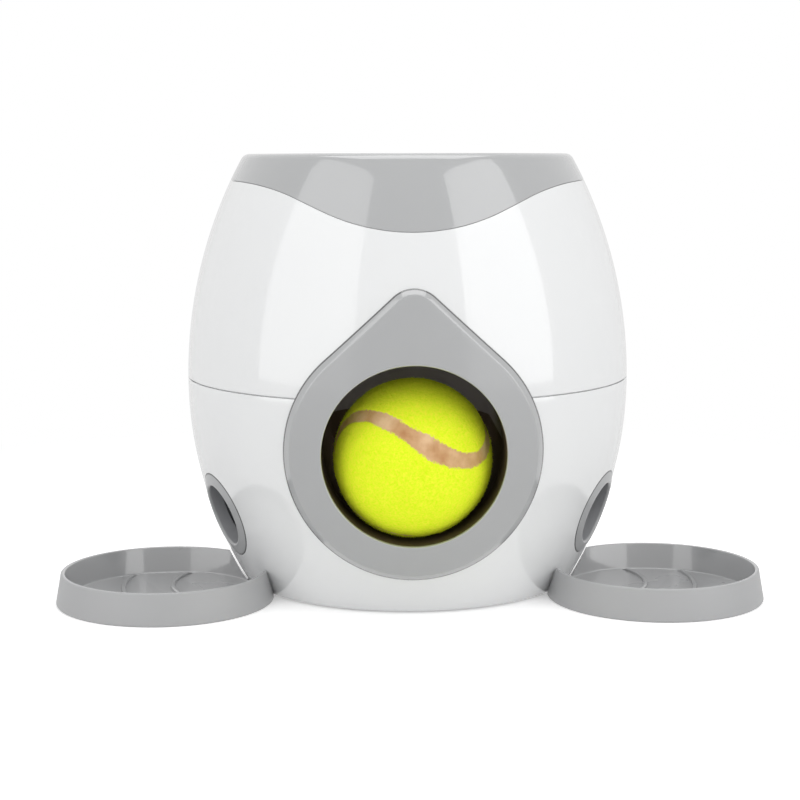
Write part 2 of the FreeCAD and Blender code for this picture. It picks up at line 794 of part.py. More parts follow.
def make_mouth_bezel():
    """Drop-shaped plate on the barrel's face, with a round hole for the ball and four screw bosses."""
    bezel = new_body("mouth_bezel")
    plate = barrel_side(bezel_low, bezel_high, -bezel_proud)
    plate += barrel_side(bezel_low, bezel_high, -seat_gap, False)
    revolve(bezel, [plate])
    outside = rectangle(-far, far, mouth_height - far, mouth_height + far)
    pocket(bezel, "XZ_Plane", [outside, drop_outline()], -far, 2 * far)
    pocket(bezel, "XZ_Plane", [outside], -far, far)
    for x, z in bezel_screw_places:
        start = bezel_screw_start(x, z)
        length = barrel_face(x, z) - start
        pad(bezel, "XZ_Plane", [Round(x, z, bezel_boss_radius)], start, length + 2 * seat_gap)
        pocket(bezel, "XZ_Plane", [Round(x, z, screw_bore)], start, length)
    pocket(bezel, "XZ_Plane", [Round(0, mouth_height, mouth_radius)], sleeve_end, far)
    return bezel


def make_mouth_sleeve():
    """Round sleeve from the ball tunnel to the back of the bezel, where the ball comes to rest."""
    sleeve = new_body("mouth_sleeve")
    ring = [Round(0, mouth_height, sleeve_radius), Round(0, mouth_height, mouth_radius)]
    pad(sleeve, "XZ_Plane", ring, sleeve_end, belly_radius - sleeve_end)
    groove(sleeve, [barrel_side(bezel_low, bezel_high) + barrel_side(bezel_low, bezel_high, -far, False)])
    return sleeve


def bezel_screw_start(x, z):
    """How far in front of the axis a boss of the bezel starts, behind the shell's sloping inner face."""
    return barrel_face(x, z, wall) - 2


def make_base_plate():
    """Round floor of the casing, with screw holes and guide bars for the tongues of the dishes."""
    edge = barrel_radius(plate_low, wall) - fit_gap
    holes = [Round(0, 0, edge)]
    holes += [Round(x, y, screw_head_radius + fit_gap) for x, y in column_places]
    holes += [Round(x, y, screw_hole) for x, y in boss_places + leg_places]
    plate = prism("base_disc", "XY_Plane", holes, plate_low, plate_thickness)
    bars = []
    inner = tongue_width / 2 + fit_gap
    for side, yaw in outlet_sides:
        for hand, low, high in (("front", inner, inner + 2), ("rear", -inner - 2, -inner)):
            reach = (tongue_reach, tongue_reach + 6)
            bar = box(f"bar_{side}_{hand}", reach, (low, high), (foot_gap, plate_low + 0.5))
            bars.append(turned(f"bar_{side}_{hand}_turned", bar, yaw=yaw))
    return fuse("base_plate", plate, *bars)


def make_feet():
    """Round rubber pads under the base plate: four near its rim, and one under the ball's landing place."""
    spread = foot_reach * cosine(as_size(45))
    places = [(0, 0)] + [(x, y) for x in (-spread, spread) for y in (-spread, spread)]
    return prism("rubber_feet", "XY_Plane", [Round(x, y, foot_radius) for x, y in places], 0, plate_low)


def tunnel_axis(reach):
    """Height of the ramp's axis at a distance behind the barrel's axis."""
    return mouth_height + ramp_step + (tunnel_front + reach) * tangent(ramp_slope)


def tunnel_solid(name, radius, low, front):
    """The ramp's channel with its drop well behind, as a solid up to above the seam."""
    back = tube_radius
    pipe_start = tunnel_front + back
    start_height = tunnel_axis(-pipe_start)
    pipe = cylinder(name + "_pipe", radius, 2 * far, 0, -pipe_start, start_height, roll=ramp_slope - 90)
    trough = [(-pipe_start, start_height), (back, tunnel_axis(back)), (back, far), (-pipe_start, far)]
    sides = prism(name + "_sides", "YZ_Plane", [trough], -radius, 2 * radius)
    well = cylinder(name + "_well", radius, far, 0, 0, low)
    ahead = box(name + "_ahead", (-far, far), (-front, 0), (low, far))
    return common(name, fuse(name + "_channel", pipe, sides), fuse(name + "_plan", well, ahead))


def flange_boxes(name, low, high):
    """A flange beside each side of the tunnel."""
    across = (mouth_radius, tube_radius + flange_width)
    right = box(name + "_right", across, (-flange_front, flange_rear), (low, high))
    return [right, mirror(name + "_left", right)]


def make_ramp():
    """Lower half of the ball tunnel: a sloping channel on four legs."""
    outer = tunnel_solid("ramp_outer", tube_radius, plate_top, tunnel_front)
    inner = tunnel_solid("ramp_inner", mouth_radius, plate_low, tunnel_front + 1)
    legs = []
    bores = []
    for number, (x, y) in enumerate(leg_places):
        legs.append(cylinder(f"leg_{number}", leg_radius, tunnel_axis(y) - plate_top, x, y, plate_top))
        bores.append(cylinder(f"leg_bore_{number}", screw_bore, screw_reach, x, y, plate_top))
    flanges = flange_boxes("ramp_flange", seam_height - flange_thickness, seam_height)
    for number, (x, y) in enumerate(flange_places):
        bores.append(cylinder(f"ramp_flange_bore_{number}", screw_bore, far, x, y, mouth_height))
    below = box("below_seam", (-far, far), (-far, far), (0, seam_height))
    whole = common("ramp_whole", fuse("ramp_fused", outer, *legs, *flanges), below)
    return cut("lower_ball_ramp", whole, inner, *bores)


def make_guide():
    """Upper half of the ball tunnel with the drop tube, the bearing ears and the pawl's cheeks."""
    roof = cylinder("roof_outer", tube_radius, tunnel_front, 0, 0, mouth_height, 0, 0, 90)
    ledge_top = seam_height + guide_wall
    ledge = box("roof_ledge", (-tube_radius, tube_radius), (-tunnel_front, 0), (seam_height, ledge_top))
    tube = cylinder("tube_outer", tube_radius, guide_height - seam_height, 0, 0, seam_height)
    flanges = flange_boxes("guide_flange", seam_height, seam_height + flange_thickness)
    ear_side = [
        (flange_rear, hopper_places[0][1] - hopper_boss_radius - 1),
        (hopper_places[0][0] + hopper_boss_radius, hopper_places[0][1] - hopper_boss_radius - 1),
        (hopper_places[1][0] + hopper_boss_radius, hopper_places[1][1] - hopper_boss_radius),
        (hopper_places[1][0] + hopper_boss_radius, hopper_places[1][1] + hopper_boss_radius),
        (flange_rear, hopper_places[1][1] + hopper_boss_radius),
    ]
    ear = prism("ear_right", "YZ_Plane", [ear_side], ear_inner, ear_thickness)
    ears = [ear, mirror("ear_left", ear)]
    cheeks = []
    for name, low, high in (
        ("cheek_inner", cheek_inner - cheek_thickness, cheek_inner),
        ("cheek_outer", cheek_outer, cheek_outer + cheek_thickness),
    ):
        cheeks.append(box(name, (low, high), (flange_rear, cheek_rear), (cheek_low, cheek_high)))
    across = (cheek_inner - cheek_thickness, cheek_outer + cheek_thickness)
    back = box("cheek_back", across, (cheek_rear - cheek_thickness, cheek_rear), (wheel_height, cheek_high))
    post = cylinder(
        "spring_post",
        spring_radius - spring_wire - fit_gap,
        spring_post_length + 1,
        detent_middle,
        cheek_rear - cheek_thickness - spring_post_length,
        spring_height,
        0,
        0,
        -90,
    )
    solid = fuse("guide_fused", roof, ledge, tube, *flanges, *ears, *cheeks, back, post)
    above = box("above_seam", (-far, far), (-far, far), (seam_height, far))
    whole = common("guide_whole", solid, above)
    bores = [
        cylinder("tube_bore", mouth_radius, far, 0, 0, mouth_height),
        cylinder("roof_bore", mouth_radius, far, 0, 0, mouth_height, 0, 0, 90),
        across_x("blade_slot", blade_radius + blade_gap, blade_side + blade_gap, wheel_reach, wheel_height),
        across_x("bush_seat", bush_radius + seat_gap, far, wheel_reach, wheel_height),
        across_x("hub_window", hub_radius + 1, ear_inner - 1, wheel_reach, wheel_height),
        across_x("pin_seat", pin_radius + seat_gap / 2, ear_inner - 1, pin_reach, pin_height),
    ]
    for number, (y, z) in enumerate(hopper_places):
        bores.append(across_x(f"ear_screw_{number}", screw_hole, far, y, z))
    for number, (x, y) in enumerate(flange_places):
        bores.append(cylinder(f"guide_flange_bore_{number}", screw_hole, far, x, y, mouth_height))
    return cut("upper_ball_guide", whole, *bores)


def across_x(name, radius, side, y, z):
    """A cylinder along X, as long on each side of the middle."""
    return cylinder(name, radius, 2 * as_size(side), -1 * as_size(side), y, z, 0, 90)


def wheel_body(name):
    """A body on the shaft's axis."""
    return place(new_body(name), 0, wheel_reach, wheel_height)


def make_shaft():
    """Round shaft with a flat, and a groove near each end for its clip."""
    reach = clip_inner + clip_thickness + 1
    shaft = wheel_body("wheel_shaft")
    pad(shaft, "YZ_Plane", [shaft_outline(0)], -reach, 2 * reach)
    for start in (clip_inner - seat_gap, -clip_inner - clip_thickness - seat_gap):
        ring = [Round(0, 0, shaft_radius + 1), Round(0, 0, clip_groove_radius)]
        pocket(shaft, "YZ_Plane", ring, start, clip_thickness + 2 * seat_gap)
    return shaft


def make_clips():
    """Open spring-steel rings in the grooves of the shaft."""
    clip = wheel_body("shaft_clip_right")
    bore = clip_groove_radius + seat_gap
    pad(clip, "YZ_Plane", [Round(0, 0, clip_radius), Round(0, 0, bore)], clip_inner, clip_thickness)
    gap = clip_groove_radius * 0.8
    pocket(clip, "YZ_Plane", [rectangle(-gap, gap, -2 * clip_radius, 0)], clip_inner - 1, clip_thickness + 2)
    return group("shaft_clips", clip, mirror("shaft_clip_left", clip))


def make_paddle_wheel():
    """Hub with four flat blades. One of them lies across the drop tube."""
    wheel = wheel_body("paddle_wheel")
    hub_side = blade_side + blade_gap / 2
    reach = bush_inner - fit_gap
    pad(wheel, "YZ_Plane", [Round(0, 0, collar_radius)], -reach, reach + detent_inner - fit_gap)
    pad(wheel, "YZ_Plane", [Round(0, 0, hub_radius)], -hub_side, 2 * hub_side)
    blade = rectangle(-blade_radius, -collar_radius, -blade_thickness / 2, blade_thickness / 2)
    feature = pad(wheel, "YZ_Plane", [blade], -blade_side, 2 * blade_side)
    ring_pattern(wheel, feature, 4)
    pocket(wheel, "YZ_Plane", [shaft_outline(running_gap)], -far, 2 * far)
    return wheel


def make_detent_wheel():
    """Disc with twelve round notches, and a collar that reaches the bush."""
    disc = wheel_body("detent_wheel")
    collar_length = bush_inner - fit_gap - detent_inner
    pad(disc, "YZ_Plane", [Round(0, 0, detent_radius)], detent_inner, detent_width)
    pad(disc, "YZ_Plane", [Round(0, 0, collar_radius)], detent_inner, collar_length)
    notch = Round(detent_radius + notch_offset, 0, notch_radius)
    feature = pocket(disc, "YZ_Plane", [notch], detent_inner - 1, detent_width + 2)
    ring_pattern(disc, feature, 12)
    pocket(disc, "YZ_Plane", [shaft_outline(running_gap)], -far, 2 * far)
    return disc


def make_rotor():
    """Drum with four round pockets that carry the treats, and a hub through the hopper's wall."""
    drum = wheel_body("right_treat_rotor")
    pad(drum, "YZ_Plane", [Round(0, 0, rotor_radius)], rotor_inner, rotor_width)
    pad(drum, "YZ_Plane", [Round(0, 0, rotor_hub_radius)], ear_outer + fit_gap, rotor_inner - ear_outer)
    corner = rotor_radius * cosine(as_size(45))
    scoop = Round(corner, corner, pocket_radius)
    feature = pocket(drum, "YZ_Plane", [scoop], rotor_inner - 1, rotor_width + 2)
    ring_pattern(drum, feature, 4)
    pocket(drum, "YZ_Plane", [shaft_outline(running_gap)], -far, 2 * far)
    return drum


def make_bush():
    """Flanged plain bush in a bearing ear."""
    bush = wheel_body("right_shaft_bush")
    pad(bush, "YZ_Plane", [Round(0, 0, bush_radius)], bush_inner, bush_flange + ear_thickness)
    pad(bush, "YZ_Plane", [Round(0, 0, bush_flange_radius)], bush_inner, bush_flange)
    pocket(bush, "YZ_Plane", [Round(0, 0, bore_radius)], -far, 2 * far)
    return bush


def make_pawl():
    """Lever with a round nose in a notch of the detent wheel and a tail for its spring."""
    pawl = new_body("detent_pawl")
    width = pawl_hub_radius / 2
    front = pin_reach - width
    bar = [
        (front, pin_height),
        (pin_reach + width, pin_height),
        (pawl_back, pawl_tail),
        (pawl_back - 2 * width + 0.5, pawl_tail),
    ]
    finger = rectangle(nose_reach, front, wheel_height - nose_radius, wheel_height + nose_radius)
    hub = Round(pin_reach, pin_height, pawl_hub_radius)
    nose = Round(nose_reach, wheel_height, nose_radius)
    for loop in (hub, bar, finger, nose):
        pad(pawl, "YZ_Plane", [loop], detent_inner, detent_width)
    bore = Round(pin_reach, pin_height, pin_radius + seat_gap / 2 + running_gap / 2)
    pocket(pawl, "YZ_Plane", [bore], 0, far)
    return pawl


def make_pin():
    """Steel pin through the cheeks and the pawl."""
    low = cheek_inner - cheek_thickness
    reach = cheek_outer + cheek_thickness - low
    return cylinder("pawl_pin", pin_radius, reach, low, pin_reach, pin_height, 0, 90)


def make_spring():
    """Compression spring between the pawl's tail and the wall behind it, wound along Y."""
    front = pawl_back.value + spring_wire.value
    rear = cheek_rear.value - cheek_thickness.value - spring_wire.value
    pitch = (rear - front) / spring_turns.value
    path = Part.makeHelix(pitch, rear - front, spring_radius.value)
    start = Vector(spring_radius.value, 0, 0)
    section = Part.Wire(Part.makeCircle(spring_wire.value / 2, start, Vector(0, 1, 0)))
    coil = path.makePipeShell([section], True, True)
    coil.rotate(Vector(0, 0, 0), Vector(1, 0, 0), -90)
    coil.translate(Vector(detent_middle.value, front, spring_height.value))
    spring = doc.addObject("Part::Feature", "pawl_spring")
    spring.Shape = coil
    return spring


def hopper_side(radius, front, top):
    """Side outline of a hopper: a sloping floor that is tangent to the drum's trough."""
    rear = wheel_reach + radius
    foot = wheel_reach - radius * sine(hopper_slope)
    foot_height = wheel_height - radius * cosine(hopper_slope)
    nose = foot_height + (foot + front) * tangent(hopper_slope)
    trough = [(rear, top), (rear, wheel_height, radius, "right"), (foot, foot_height)]
    return trough + [(-front, nose), (-front, top)]


def hopper_block(name, radius, front, top, inset, across):
    """The outside or the inside of the right hopper, from its side, its front and the barrel."""
    side = prism(name + "_side", "YZ_Plane", [hopper_side(radius, front, top)], 0, far)
    face = prism(name + "_face", "XZ_Plane", [across], -wheel_reach - radius, far)
    limit = barrel_solid(name + "_limit", seam_height, top, inset)
    return common(name, side, face, limit)


def make_hopper():
    """Right treat hopper with the trough round its rotor and a spout below."""
    low = wheel_height - shell_radius
    outer_front = [
        (hopper_inner, low),
        (hopper_outer, low),
        (hopper_outer, hopper_flare_low),
        (hopper_flare_side, hopper_top),
        (hopper_inner, hopper_top),
    ]
    slant = hopper_wall * 1.4
    cavity_top = hopper_top + 1
    inner_front = [
        (hopper_inner + hopper_wall, low),
        (hopper_outer - hopper_wall, low),
        (hopper_outer - hopper_wall, hopper_flare_low + hopper_wall / 3),
        (hopper_flare_side - slant, hopper_top),
        (hopper_flare_side - slant, cavity_top),
        (hopper_inner + hopper_wall, cavity_top),
    ]
    inset = wall + 2 * fit_gap
    outer = hopper_block("hopper_outer_block", shell_radius, hopper_front, hopper_top, inset, outer_front)
    inner_inset = inset + hopper_wall
    reach = hopper_front - hopper_wall
    inner = hopper_block("hopper_inner_block", trough_radius, reach, cavity_top, inner_inset, inner_front)
    spout_height = wheel_height - rotor_radius * 0.7 - spout_low
    spout = cylinder("hopper_spout", spout_radius, spout_height, rotor_middle, outlet_reach, spout_low)
    bore = spout_radius - hopper_wall * 0.8
    tools = [
        inner,
        cylinder("hopper_spout_bore", bore, spout_height, rotor_middle, outlet_reach, spout_low - 1),
        across_x("hopper_hub_hole", rotor_hub_radius + rotor_gap, far, wheel_reach, wheel_height),
    ]
    bosses = []
    for number, (y, z) in enumerate(hopper_places):
        start = (hopper_inner, y, z)
        bosses.append(
            cylinder(f"hopper_boss_{number}", hopper_boss_radius, hopper_boss_depth, *start, pitch=90)
        )
        bore_length = hopper_inner + hopper_boss_depth - 1
        tools.append(cylinder(f"hopper_bore_{number}", screw_bore, bore_length, 0, y, z, 0, 90))
    return cut("right_treat_hopper", fuse("hopper_fused", outer, spout, *bosses), *tools)


def bent_path(points, radius):
    """Straight runs through the points, joined by tangent arcs."""
    edges = []
    start = points[0]
    for before, corner, after in zip(points, points[1:], points[2:]):
        inward = corner.sub(before).normalize()
        outward = after.sub(corner).normalize()
        turn = inward.getAngle(outward)
        reach = radius * math.tan(turn / 2)
        first = corner.sub(inward * reach)
        last = corner.add(outward * reach)
        towards = outward.sub(inward).normalize()
        middle = corner.add(towards * (radius / math.cos(turn / 2) - radius))
        edges.append(Part.LineSegment(start, first).toShape())
        edges.append(Part.Arc(first, middle, last).toShape())
        start = last
    edges.append(Part.LineSegment(start, points[-1]).toShape())
    return Part.Wire(edges)


def tube_solid(points, bend, radius):
    """A round bar along a bent path."""
    path = bent_path(points, bend)
    along = points[1].sub(points[0])
    section = Part.Wire(Part.makeCircle(radius, points[0], along))
    return path.makePipeShell([section], True, False)


def outlet_point(start):
    """A point on the right outlet's axis, at a distance outside the barrel's face."""
    tilt = math.radians(outlet_tilt.value)
    yaw = -math.radians(outlet_yaw.value)
    reach = outlet_face.value + start * math.cos(tilt)
    height = outlet_height.value - start * math.sin(tilt)
    return Vector(reach * math.cos(yaw), reach * math.sin(yaw), height)


def make_chute():
    """Right treat chute: a bent tube from the hopper's spout to the side outlet, with a holed lid."""
    top = Vector(rotor_middle.value, outlet_reach.value, chute_top.value)
    lid = Vector(0, 0, chute_wall.value)
    turn = Vector(top.x, top.y, chute_turn_height.value)
    run_in = outlet_point(-chute_run_in.value)
    end = outlet_point(-socket_depth.value - fit_gap.value)
    outer = tube_solid([top, turn, run_in, end], chute_bend.value, chute_radius.value)
    beyond = outlet_point(0)
    bore = chute_radius.value - chute_wall.value
    inner = tube_solid([top.sub(lid), turn, run_in, beyond], chute_bend.value, bore)
    spout = Part.makeCylinder(spout_radius.value + fit_gap.value, 3 * chute_wall.value, top.sub(lid * 2))
    chute = doc.addObject("Part::Feature", "right_treat_chute")
    chute.Shape = outer.cut(inner).cut(spout)
    return chute


def make_outlet_ring(side, yaw):
    """Grey ring in a side outlet, flush with the barrel, with a flange behind the shell."""
    name = f"{side}_outlet_ring"
    low = foot_gap
    high = outlet_height + 2 * ring_radius
    face = common(
        name + "_face",
        outlet_cylinder(name + "_body", ring_radius, -ring_depth, outlet_clear),
        barrel_solid(name + "_outside", low, high, 0),
    )
    flange = common(
        name + "_flange",
        outlet_cylinder(name + "_disc", ring_radius + ring_flange, -ring_depth, outlet_clear),
        barrel_solid(name + "_inside", low, high, wall + seat_gap),
    )
    behind = barrel_solid(name + "_behind", low, high, wall + seat_gap + guide_wall)
    clamp = cut(name + "_clamp", flange, behind)
    ring = fuse(name + "_fused", face, clamp)
    bore = outlet_cylinder(name + "_bore", ring_bore, -far / 4, outlet_clear)
    socket = outlet_cylinder(name + "_socket", chute_radius + fit_gap, -far / 4, -socket_depth)
    return turned(name, cut(name + "_bored", ring, bore, socket), yaw=yaw)


def make_dish(side, yaw):
    """Shallow round dish, cut away along the barrel's flare, with a tongue under the base plate."""
    name = f"{side}_treat_dish"
    bowl = new_body(name + "_bowl")
    inner_rim = dish_rim_radius - dish_wall
    inner_floor = dish_base_radius - dish_wall - 0.5
    outline = [(0, 0), (dish_base_radius, 0), (dish_rim_radius, dish_height), (inner_rim, dish_height)]
    outline += [(inner_floor, dish_floor), (0, dish_floor)]
    revolve(bowl, [outline])
    ribs = []
    for hand, radius in (("near", dish_rib_inner), ("far", dish_rib_outer)):
        ring = [Round(-dish_rib_centre, 0, radius + dish_rib), Round(-dish_rib_centre, 0, radius - dish_rib)]
        ribs.append(prism(f"{name}_rib_{hand}", "XY_Plane", ring, dish_floor / 2, dish_floor / 2 + dish_rib))
    limit = cylinder(name + "_limit", inner_floor, dish_height)
    kept = common(name + "_ribs_kept", fuse(name + "_ribs", *ribs), limit)
    whole = place(fuse(name + "_whole", bowl, kept), dish_reach)
    tongue_end = barrel_radius(foot_gap) + dish_gap + 2 * dish_wall
    tongue_top = tongue_lift + tongue_thickness
    half = tongue_width / 2
    tongue = box(name + "_tongue", (tongue_reach, tongue_end), (-half, half), (tongue_lift, tongue_top))
    bite = barrel_solid(name + "_bite", -far / 8, dish_height + 10, -dish_gap)
    return turned(name, fuse(name + "_tongued", cut(name + "_bitten", whole, bite), tongue), yaw=yaw)


def make_ball():
    """Hollow rubber core and the felt cover round it, on the floor of the mouth's sleeve."""
    height = mouth_height - mouth_radius + ball_radius + fit_gap
    felt_inner = ball_radius - felt_thickness
    core_outer = felt_inner - seat_gap
    pieces = []
    for name, outer, inner in (
        ("ball_felt_cover", ball_radius, felt_inner),
        ("ball_rubber_core", core_outer, core_outer - rubber_thickness),
    ):
        spheres = []
        for part, radius in (("outside", outer), ("inside", inner)):
            sphere = doc.addObject("Part::Sphere", f"{name}_{part}")
            sphere.setExpression("Radius", radius.text)
            spheres.append(place(sphere, 0, -ball_reach, height))
        pieces.append(cut(name, *spheres))
    return pieces


def screw_set(name, length, places, pitch=0, roll=0):
    """A group of alike screws, one at each place."""
    screws = []
    for number, (x, y, z) in enumerate(places):
        screws.append(screw(f"{name}_{number}", length, x, y, z, pitch, roll))
    return group(name, *screws)


pieces = {
    "lower_shell": make_lower_shell(),
    "upper_shell": make_upper_shell(),
    "top_cap": make_top_cap(),
    "mouth_bezel": make_mouth_bezel(),
    "mouth_sleeve": make_mouth_sleeve(),
    "base_plate": make_base_plate(),
    "rubber_feet": make_feet(),
    "lower_ball_ramp": make_ramp(),
    "upper_ball_guide": make_guide(),
    "wheel_shaft": make_shaft(),
    "shaft_clips": make_clips(),
    "paddle_wheel": make_paddle_wheel(),
    "detent_wheel": make_detent_wheel(),
    "right_treat_rotor": make_rotor(),
    "right_shaft_bush": make_bush(),
    "detent_pawl": make_pawl(),
    "pawl_pin": make_pin(),
    "pawl_spring": make_spring(),
    "right_treat_hopper": make_hopper(),
    "right_treat_chute": make_chute(),
}
for name in ("treat_rotor", "shaft_bush", "treat_hopper", "treat_chute"):
    pieces["left_" + name] = mirror("left_" + name, pieces["right_" + name])
for side, yaw in outlet_sides:
    pieces[side + "_outlet_ring"] = make_outlet_ring(side, yaw)
    pieces[side + "_treat_dish"] = make_dish(side, yaw)
pieces["ball_felt_cover"], pieces["ball_rubber_core"] = make_ball()
pieces["base_screws"] = screw_set("base_screws", screw_reach, [(x, y, plate_low) for x, y in boss_places])
pieces["ramp_screws"] = screw_set("ramp_screws", screw_reach, [(x, y, plate_low) for x, y in leg_places])
pieces["shell_screws"] = screw_set(
    "shell_screws", column_top - column_seat - 2, [(x, y, column_seat) for x, y in column_places]
)
pieces["guide_screws"] = screw_set(
    "guide_screws",
    2 * flange_thickness - fit_gap,
    [(x, y, seam_height + flange_thickness) for x, y in flange_places],
    roll=180,
)
pieces["bezel_screws"] = screw_set(
    "bezel_screws",
    wall + 2,
    [(x, -bezel_screw_start(x, z), z) for x, z in bezel_screw_places],
    roll=90,
)
hopper_screws_right = screw_set(
    "hopper_screws_right",
    ear_thickness + hopper_boss_depth - 1,
    [(ear_inner, y, z) for y, z in hopper_places],
    pitch=90,
)
hopper_screws_left = mirror("hopper_screws_left", hopper_screws_right)
pieces["hopper_screws"] = group("hopper_screws", hopper_screws_right, hopper_screws_left)

doc.recompute()
for item in doc.Objects:
    if {"Invalid", "Error"} & set(item.State):
        raise RuntimeError(f"{item.Label} failed: {item.State}")
    if item.TypeId in ("PartDesign::Pocket", "PartDesign::Groove"):
        if item.Shape.Volume > item.BaseFeature.Shape.Volume - 1e-3:
            raise RuntimeError(f"{item.Label} cuts nothing")
os.makedirs("parts", exist_ok=True)
for name, item in pieces.items():
    item.Label = name
    if item.Shape.isNull() or not item.Shape.isValid() or not item.Shape.Solids:
        raise RuntimeError(f"{name} has no valid solid")
    item.Shape.exportStep(f"parts/{name}.step")
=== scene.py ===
"""Looks of a barrel-shaped fetch-and-treat machine for a dog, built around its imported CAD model.

The frame is the model's own, in metres: the origin is on the floor under the barrel's axis, +Z is up and the
ball's mouth faces -Y. Left and right are as seen from the front. The classes hold their sizes in millimetres,
and mesh_piece turns them to metres.
"""

import json
import logging
import math
from dataclasses import dataclass, field
from enum import Enum
from typing import Sequence

import bmesh
import bpy
import numpy as np
from mathutils import Matrix, Vector

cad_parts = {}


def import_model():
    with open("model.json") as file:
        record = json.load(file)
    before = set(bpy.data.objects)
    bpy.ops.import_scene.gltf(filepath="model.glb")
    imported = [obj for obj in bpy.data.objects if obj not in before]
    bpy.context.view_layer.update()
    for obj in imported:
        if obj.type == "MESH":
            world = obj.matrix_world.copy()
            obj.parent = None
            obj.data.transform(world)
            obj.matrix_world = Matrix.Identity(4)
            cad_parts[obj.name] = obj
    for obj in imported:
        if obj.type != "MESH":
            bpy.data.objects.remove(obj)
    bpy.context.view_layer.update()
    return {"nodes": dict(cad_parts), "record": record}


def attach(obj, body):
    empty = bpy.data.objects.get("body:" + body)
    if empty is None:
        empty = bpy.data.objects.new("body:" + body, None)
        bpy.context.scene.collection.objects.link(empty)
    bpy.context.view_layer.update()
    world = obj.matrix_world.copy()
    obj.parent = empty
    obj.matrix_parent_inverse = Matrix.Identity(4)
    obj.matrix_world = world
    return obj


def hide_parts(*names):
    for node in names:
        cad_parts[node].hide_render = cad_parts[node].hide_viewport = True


LOG = logging.getLogger("ball_treat_machine")
MM = 0.001
TURN = 2 * math.pi
# A rounding takes at most this share of an edge, and a corner whose cosine is past STRAIGHT counts as straight.
EDGE_SHARE = 0.48
STRAIGHT = 0.9999
# Angle in degrees past which an edge stays sharp.
CREASE = 35.0
# Faces of a block whose four lower corners come first.
BOX_FACES = ((0, 1, 2, 3), (7, 6, 5, 4), (0, 4, 5, 1), (1, 5, 6, 2), (2, 6, 7, 3), (3, 7, 4, 0))


class Side(Enum):
    """The two sides of the machine as seen from the front. The value is the sign of X."""

    LEFT = -1
    RIGHT = 1


class Ends(Enum):
    """How the rows of a surface grid end."""

    JOINED = "last row meets first row"
    POLES = "first and last rows are single points"


# ---- numbers and surfaces


def linear(code: str) -> tuple[float, float, float, float]:
    """Turn an sRGB hex colour to linear light.

    Args:
        code: six hex digits, such as "b4b5b6".

    Returns:
        Red, green, blue and an alpha of one.
    """
    parts = np.array([int(code[i : i + 2], 16) for i in (0, 2, 4)]) / 255
    light = np.where(parts <= 0.04045, parts / 12.92, ((parts + 0.055) / 1.055) ** 2.4)
    return (float(light[0]), float(light[1]), float(light[2]), 1.0)


def circle(count: int) -> np.ndarray:
    """Angles all the way round, in equal steps."""
    return np.arange(count) * TURN / count


def unit(vectors: np.ndarray) -> np.ndarray:
    """Vectors scaled to a length of one."""
    return vectors / np.linalg.norm(vectors, axis=-1, keepdims=True)


def rounded(corners: np.ndarray, radii: Sequence[float], steps: int = 4, closed: bool = True) -> np.ndarray:
    """Round the corners of many polylines at once.

    A corner becomes an arc whose centre lies on the bisector, at radius / sin(half the angle) from the corner.
    The arc's points are a spherical interpolation between the two tangent points as seen from that centre.

    Args:
        corners: array of lines, corners and coordinates.
        radii: one radius per corner, in millimetres; zero leaves the corner as it is.
        steps: arc segments per corner.
        closed: the line goes back to its start, otherwise its two end corners stay sharp.

    Returns:
        Array of lines, points and coordinates.
    """
    count = corners.shape[1]
    runs = []
    for index, radius in enumerate(radii):
        here = corners[:, index]
        if radius <= 0 or (not closed and index in (0, count - 1)):
            runs.append(here[:, None])
            continue
        back, ahead = corners[:, index - 1] - here, corners[:, (index + 1) % count] - here
        shorter = np.minimum(*(np.linalg.norm(way, axis=1, keepdims=True) for way in (back, ahead)))
        back, ahead = unit(back), unit(ahead)
        half = np.arccos(np.clip((back * ahead).sum(1, keepdims=True), -STRAIGHT, STRAIGHT)) / 2
        reach = np.minimum(radius / np.tan(half), EDGE_SHARE * shorter)
        centre = here + unit(back + ahead) * reach / np.cos(half)
        first = here + back * reach - centre
        last = here + ahead * reach - centre
        share = np.linspace(0, 1, steps + 1)[None, :, None]
        sweep = (math.pi - 2 * half)[:, None]
        arc = np.sin((1 - share) * sweep) * first[:, None] + np.sin(share * sweep) * last[:, None]
        runs.append(centre[:, None] + arc / np.sin(sweep))
    return np.concatenate(runs, axis=1)


def between(start: np.ndarray, end: np.ndarray, count: int) -> np.ndarray:
    """Points strictly between two rows of points, in equal steps.

    Args:
        start: array of points.
        end: array of points, one for each start.
        count: how many points to put between.

    Returns:
        Array of lines, points and coordinates.
    """
    share = (np.arange(1, count + 1) / (count + 1))[None, :, None]
    return start[:, None] * (1 - share) + end[:, None] * share


def grid_faces(rows: int, columns: int, ends: Ends) -> list[tuple[int, ...]]:
    """Faces of a grid that is closed along its columns' direction.

    Vertex (row, column) has the number row * columns + column. Joined ends wrap the rows too. With poles, the
    two poles are the last two vertices and each is a fan of triangles.

    Args:
        rows: rows of the grid, without poles.
        columns: points in each row; the last meets the first.
        ends: how the first and the last row end.

    Returns:
        Vertex numbers of each face.
    """
    row, column = np.meshgrid(np.arange(rows - (ends is Ends.POLES)), np.arange(columns), indexing="ij")
    after = (column + 1) % columns
    below = (row + 1) % rows
    quads = np.stack([row * columns + column, row * columns + after, below * columns + after,
                      below * columns + column], axis=-1).reshape(-1, 4)
    faces = [tuple(int(v) for v in quad) for quad in quads]
    if ends is Ends.POLES:
        low, high = rows * columns, rows * columns + 1
        last = (rows - 1) * columns
        for k in range(columns):
            step = (k + 1) % columns
            faces.append((low, step, k))
            faces.append((high, last + k, last + step))
    return faces


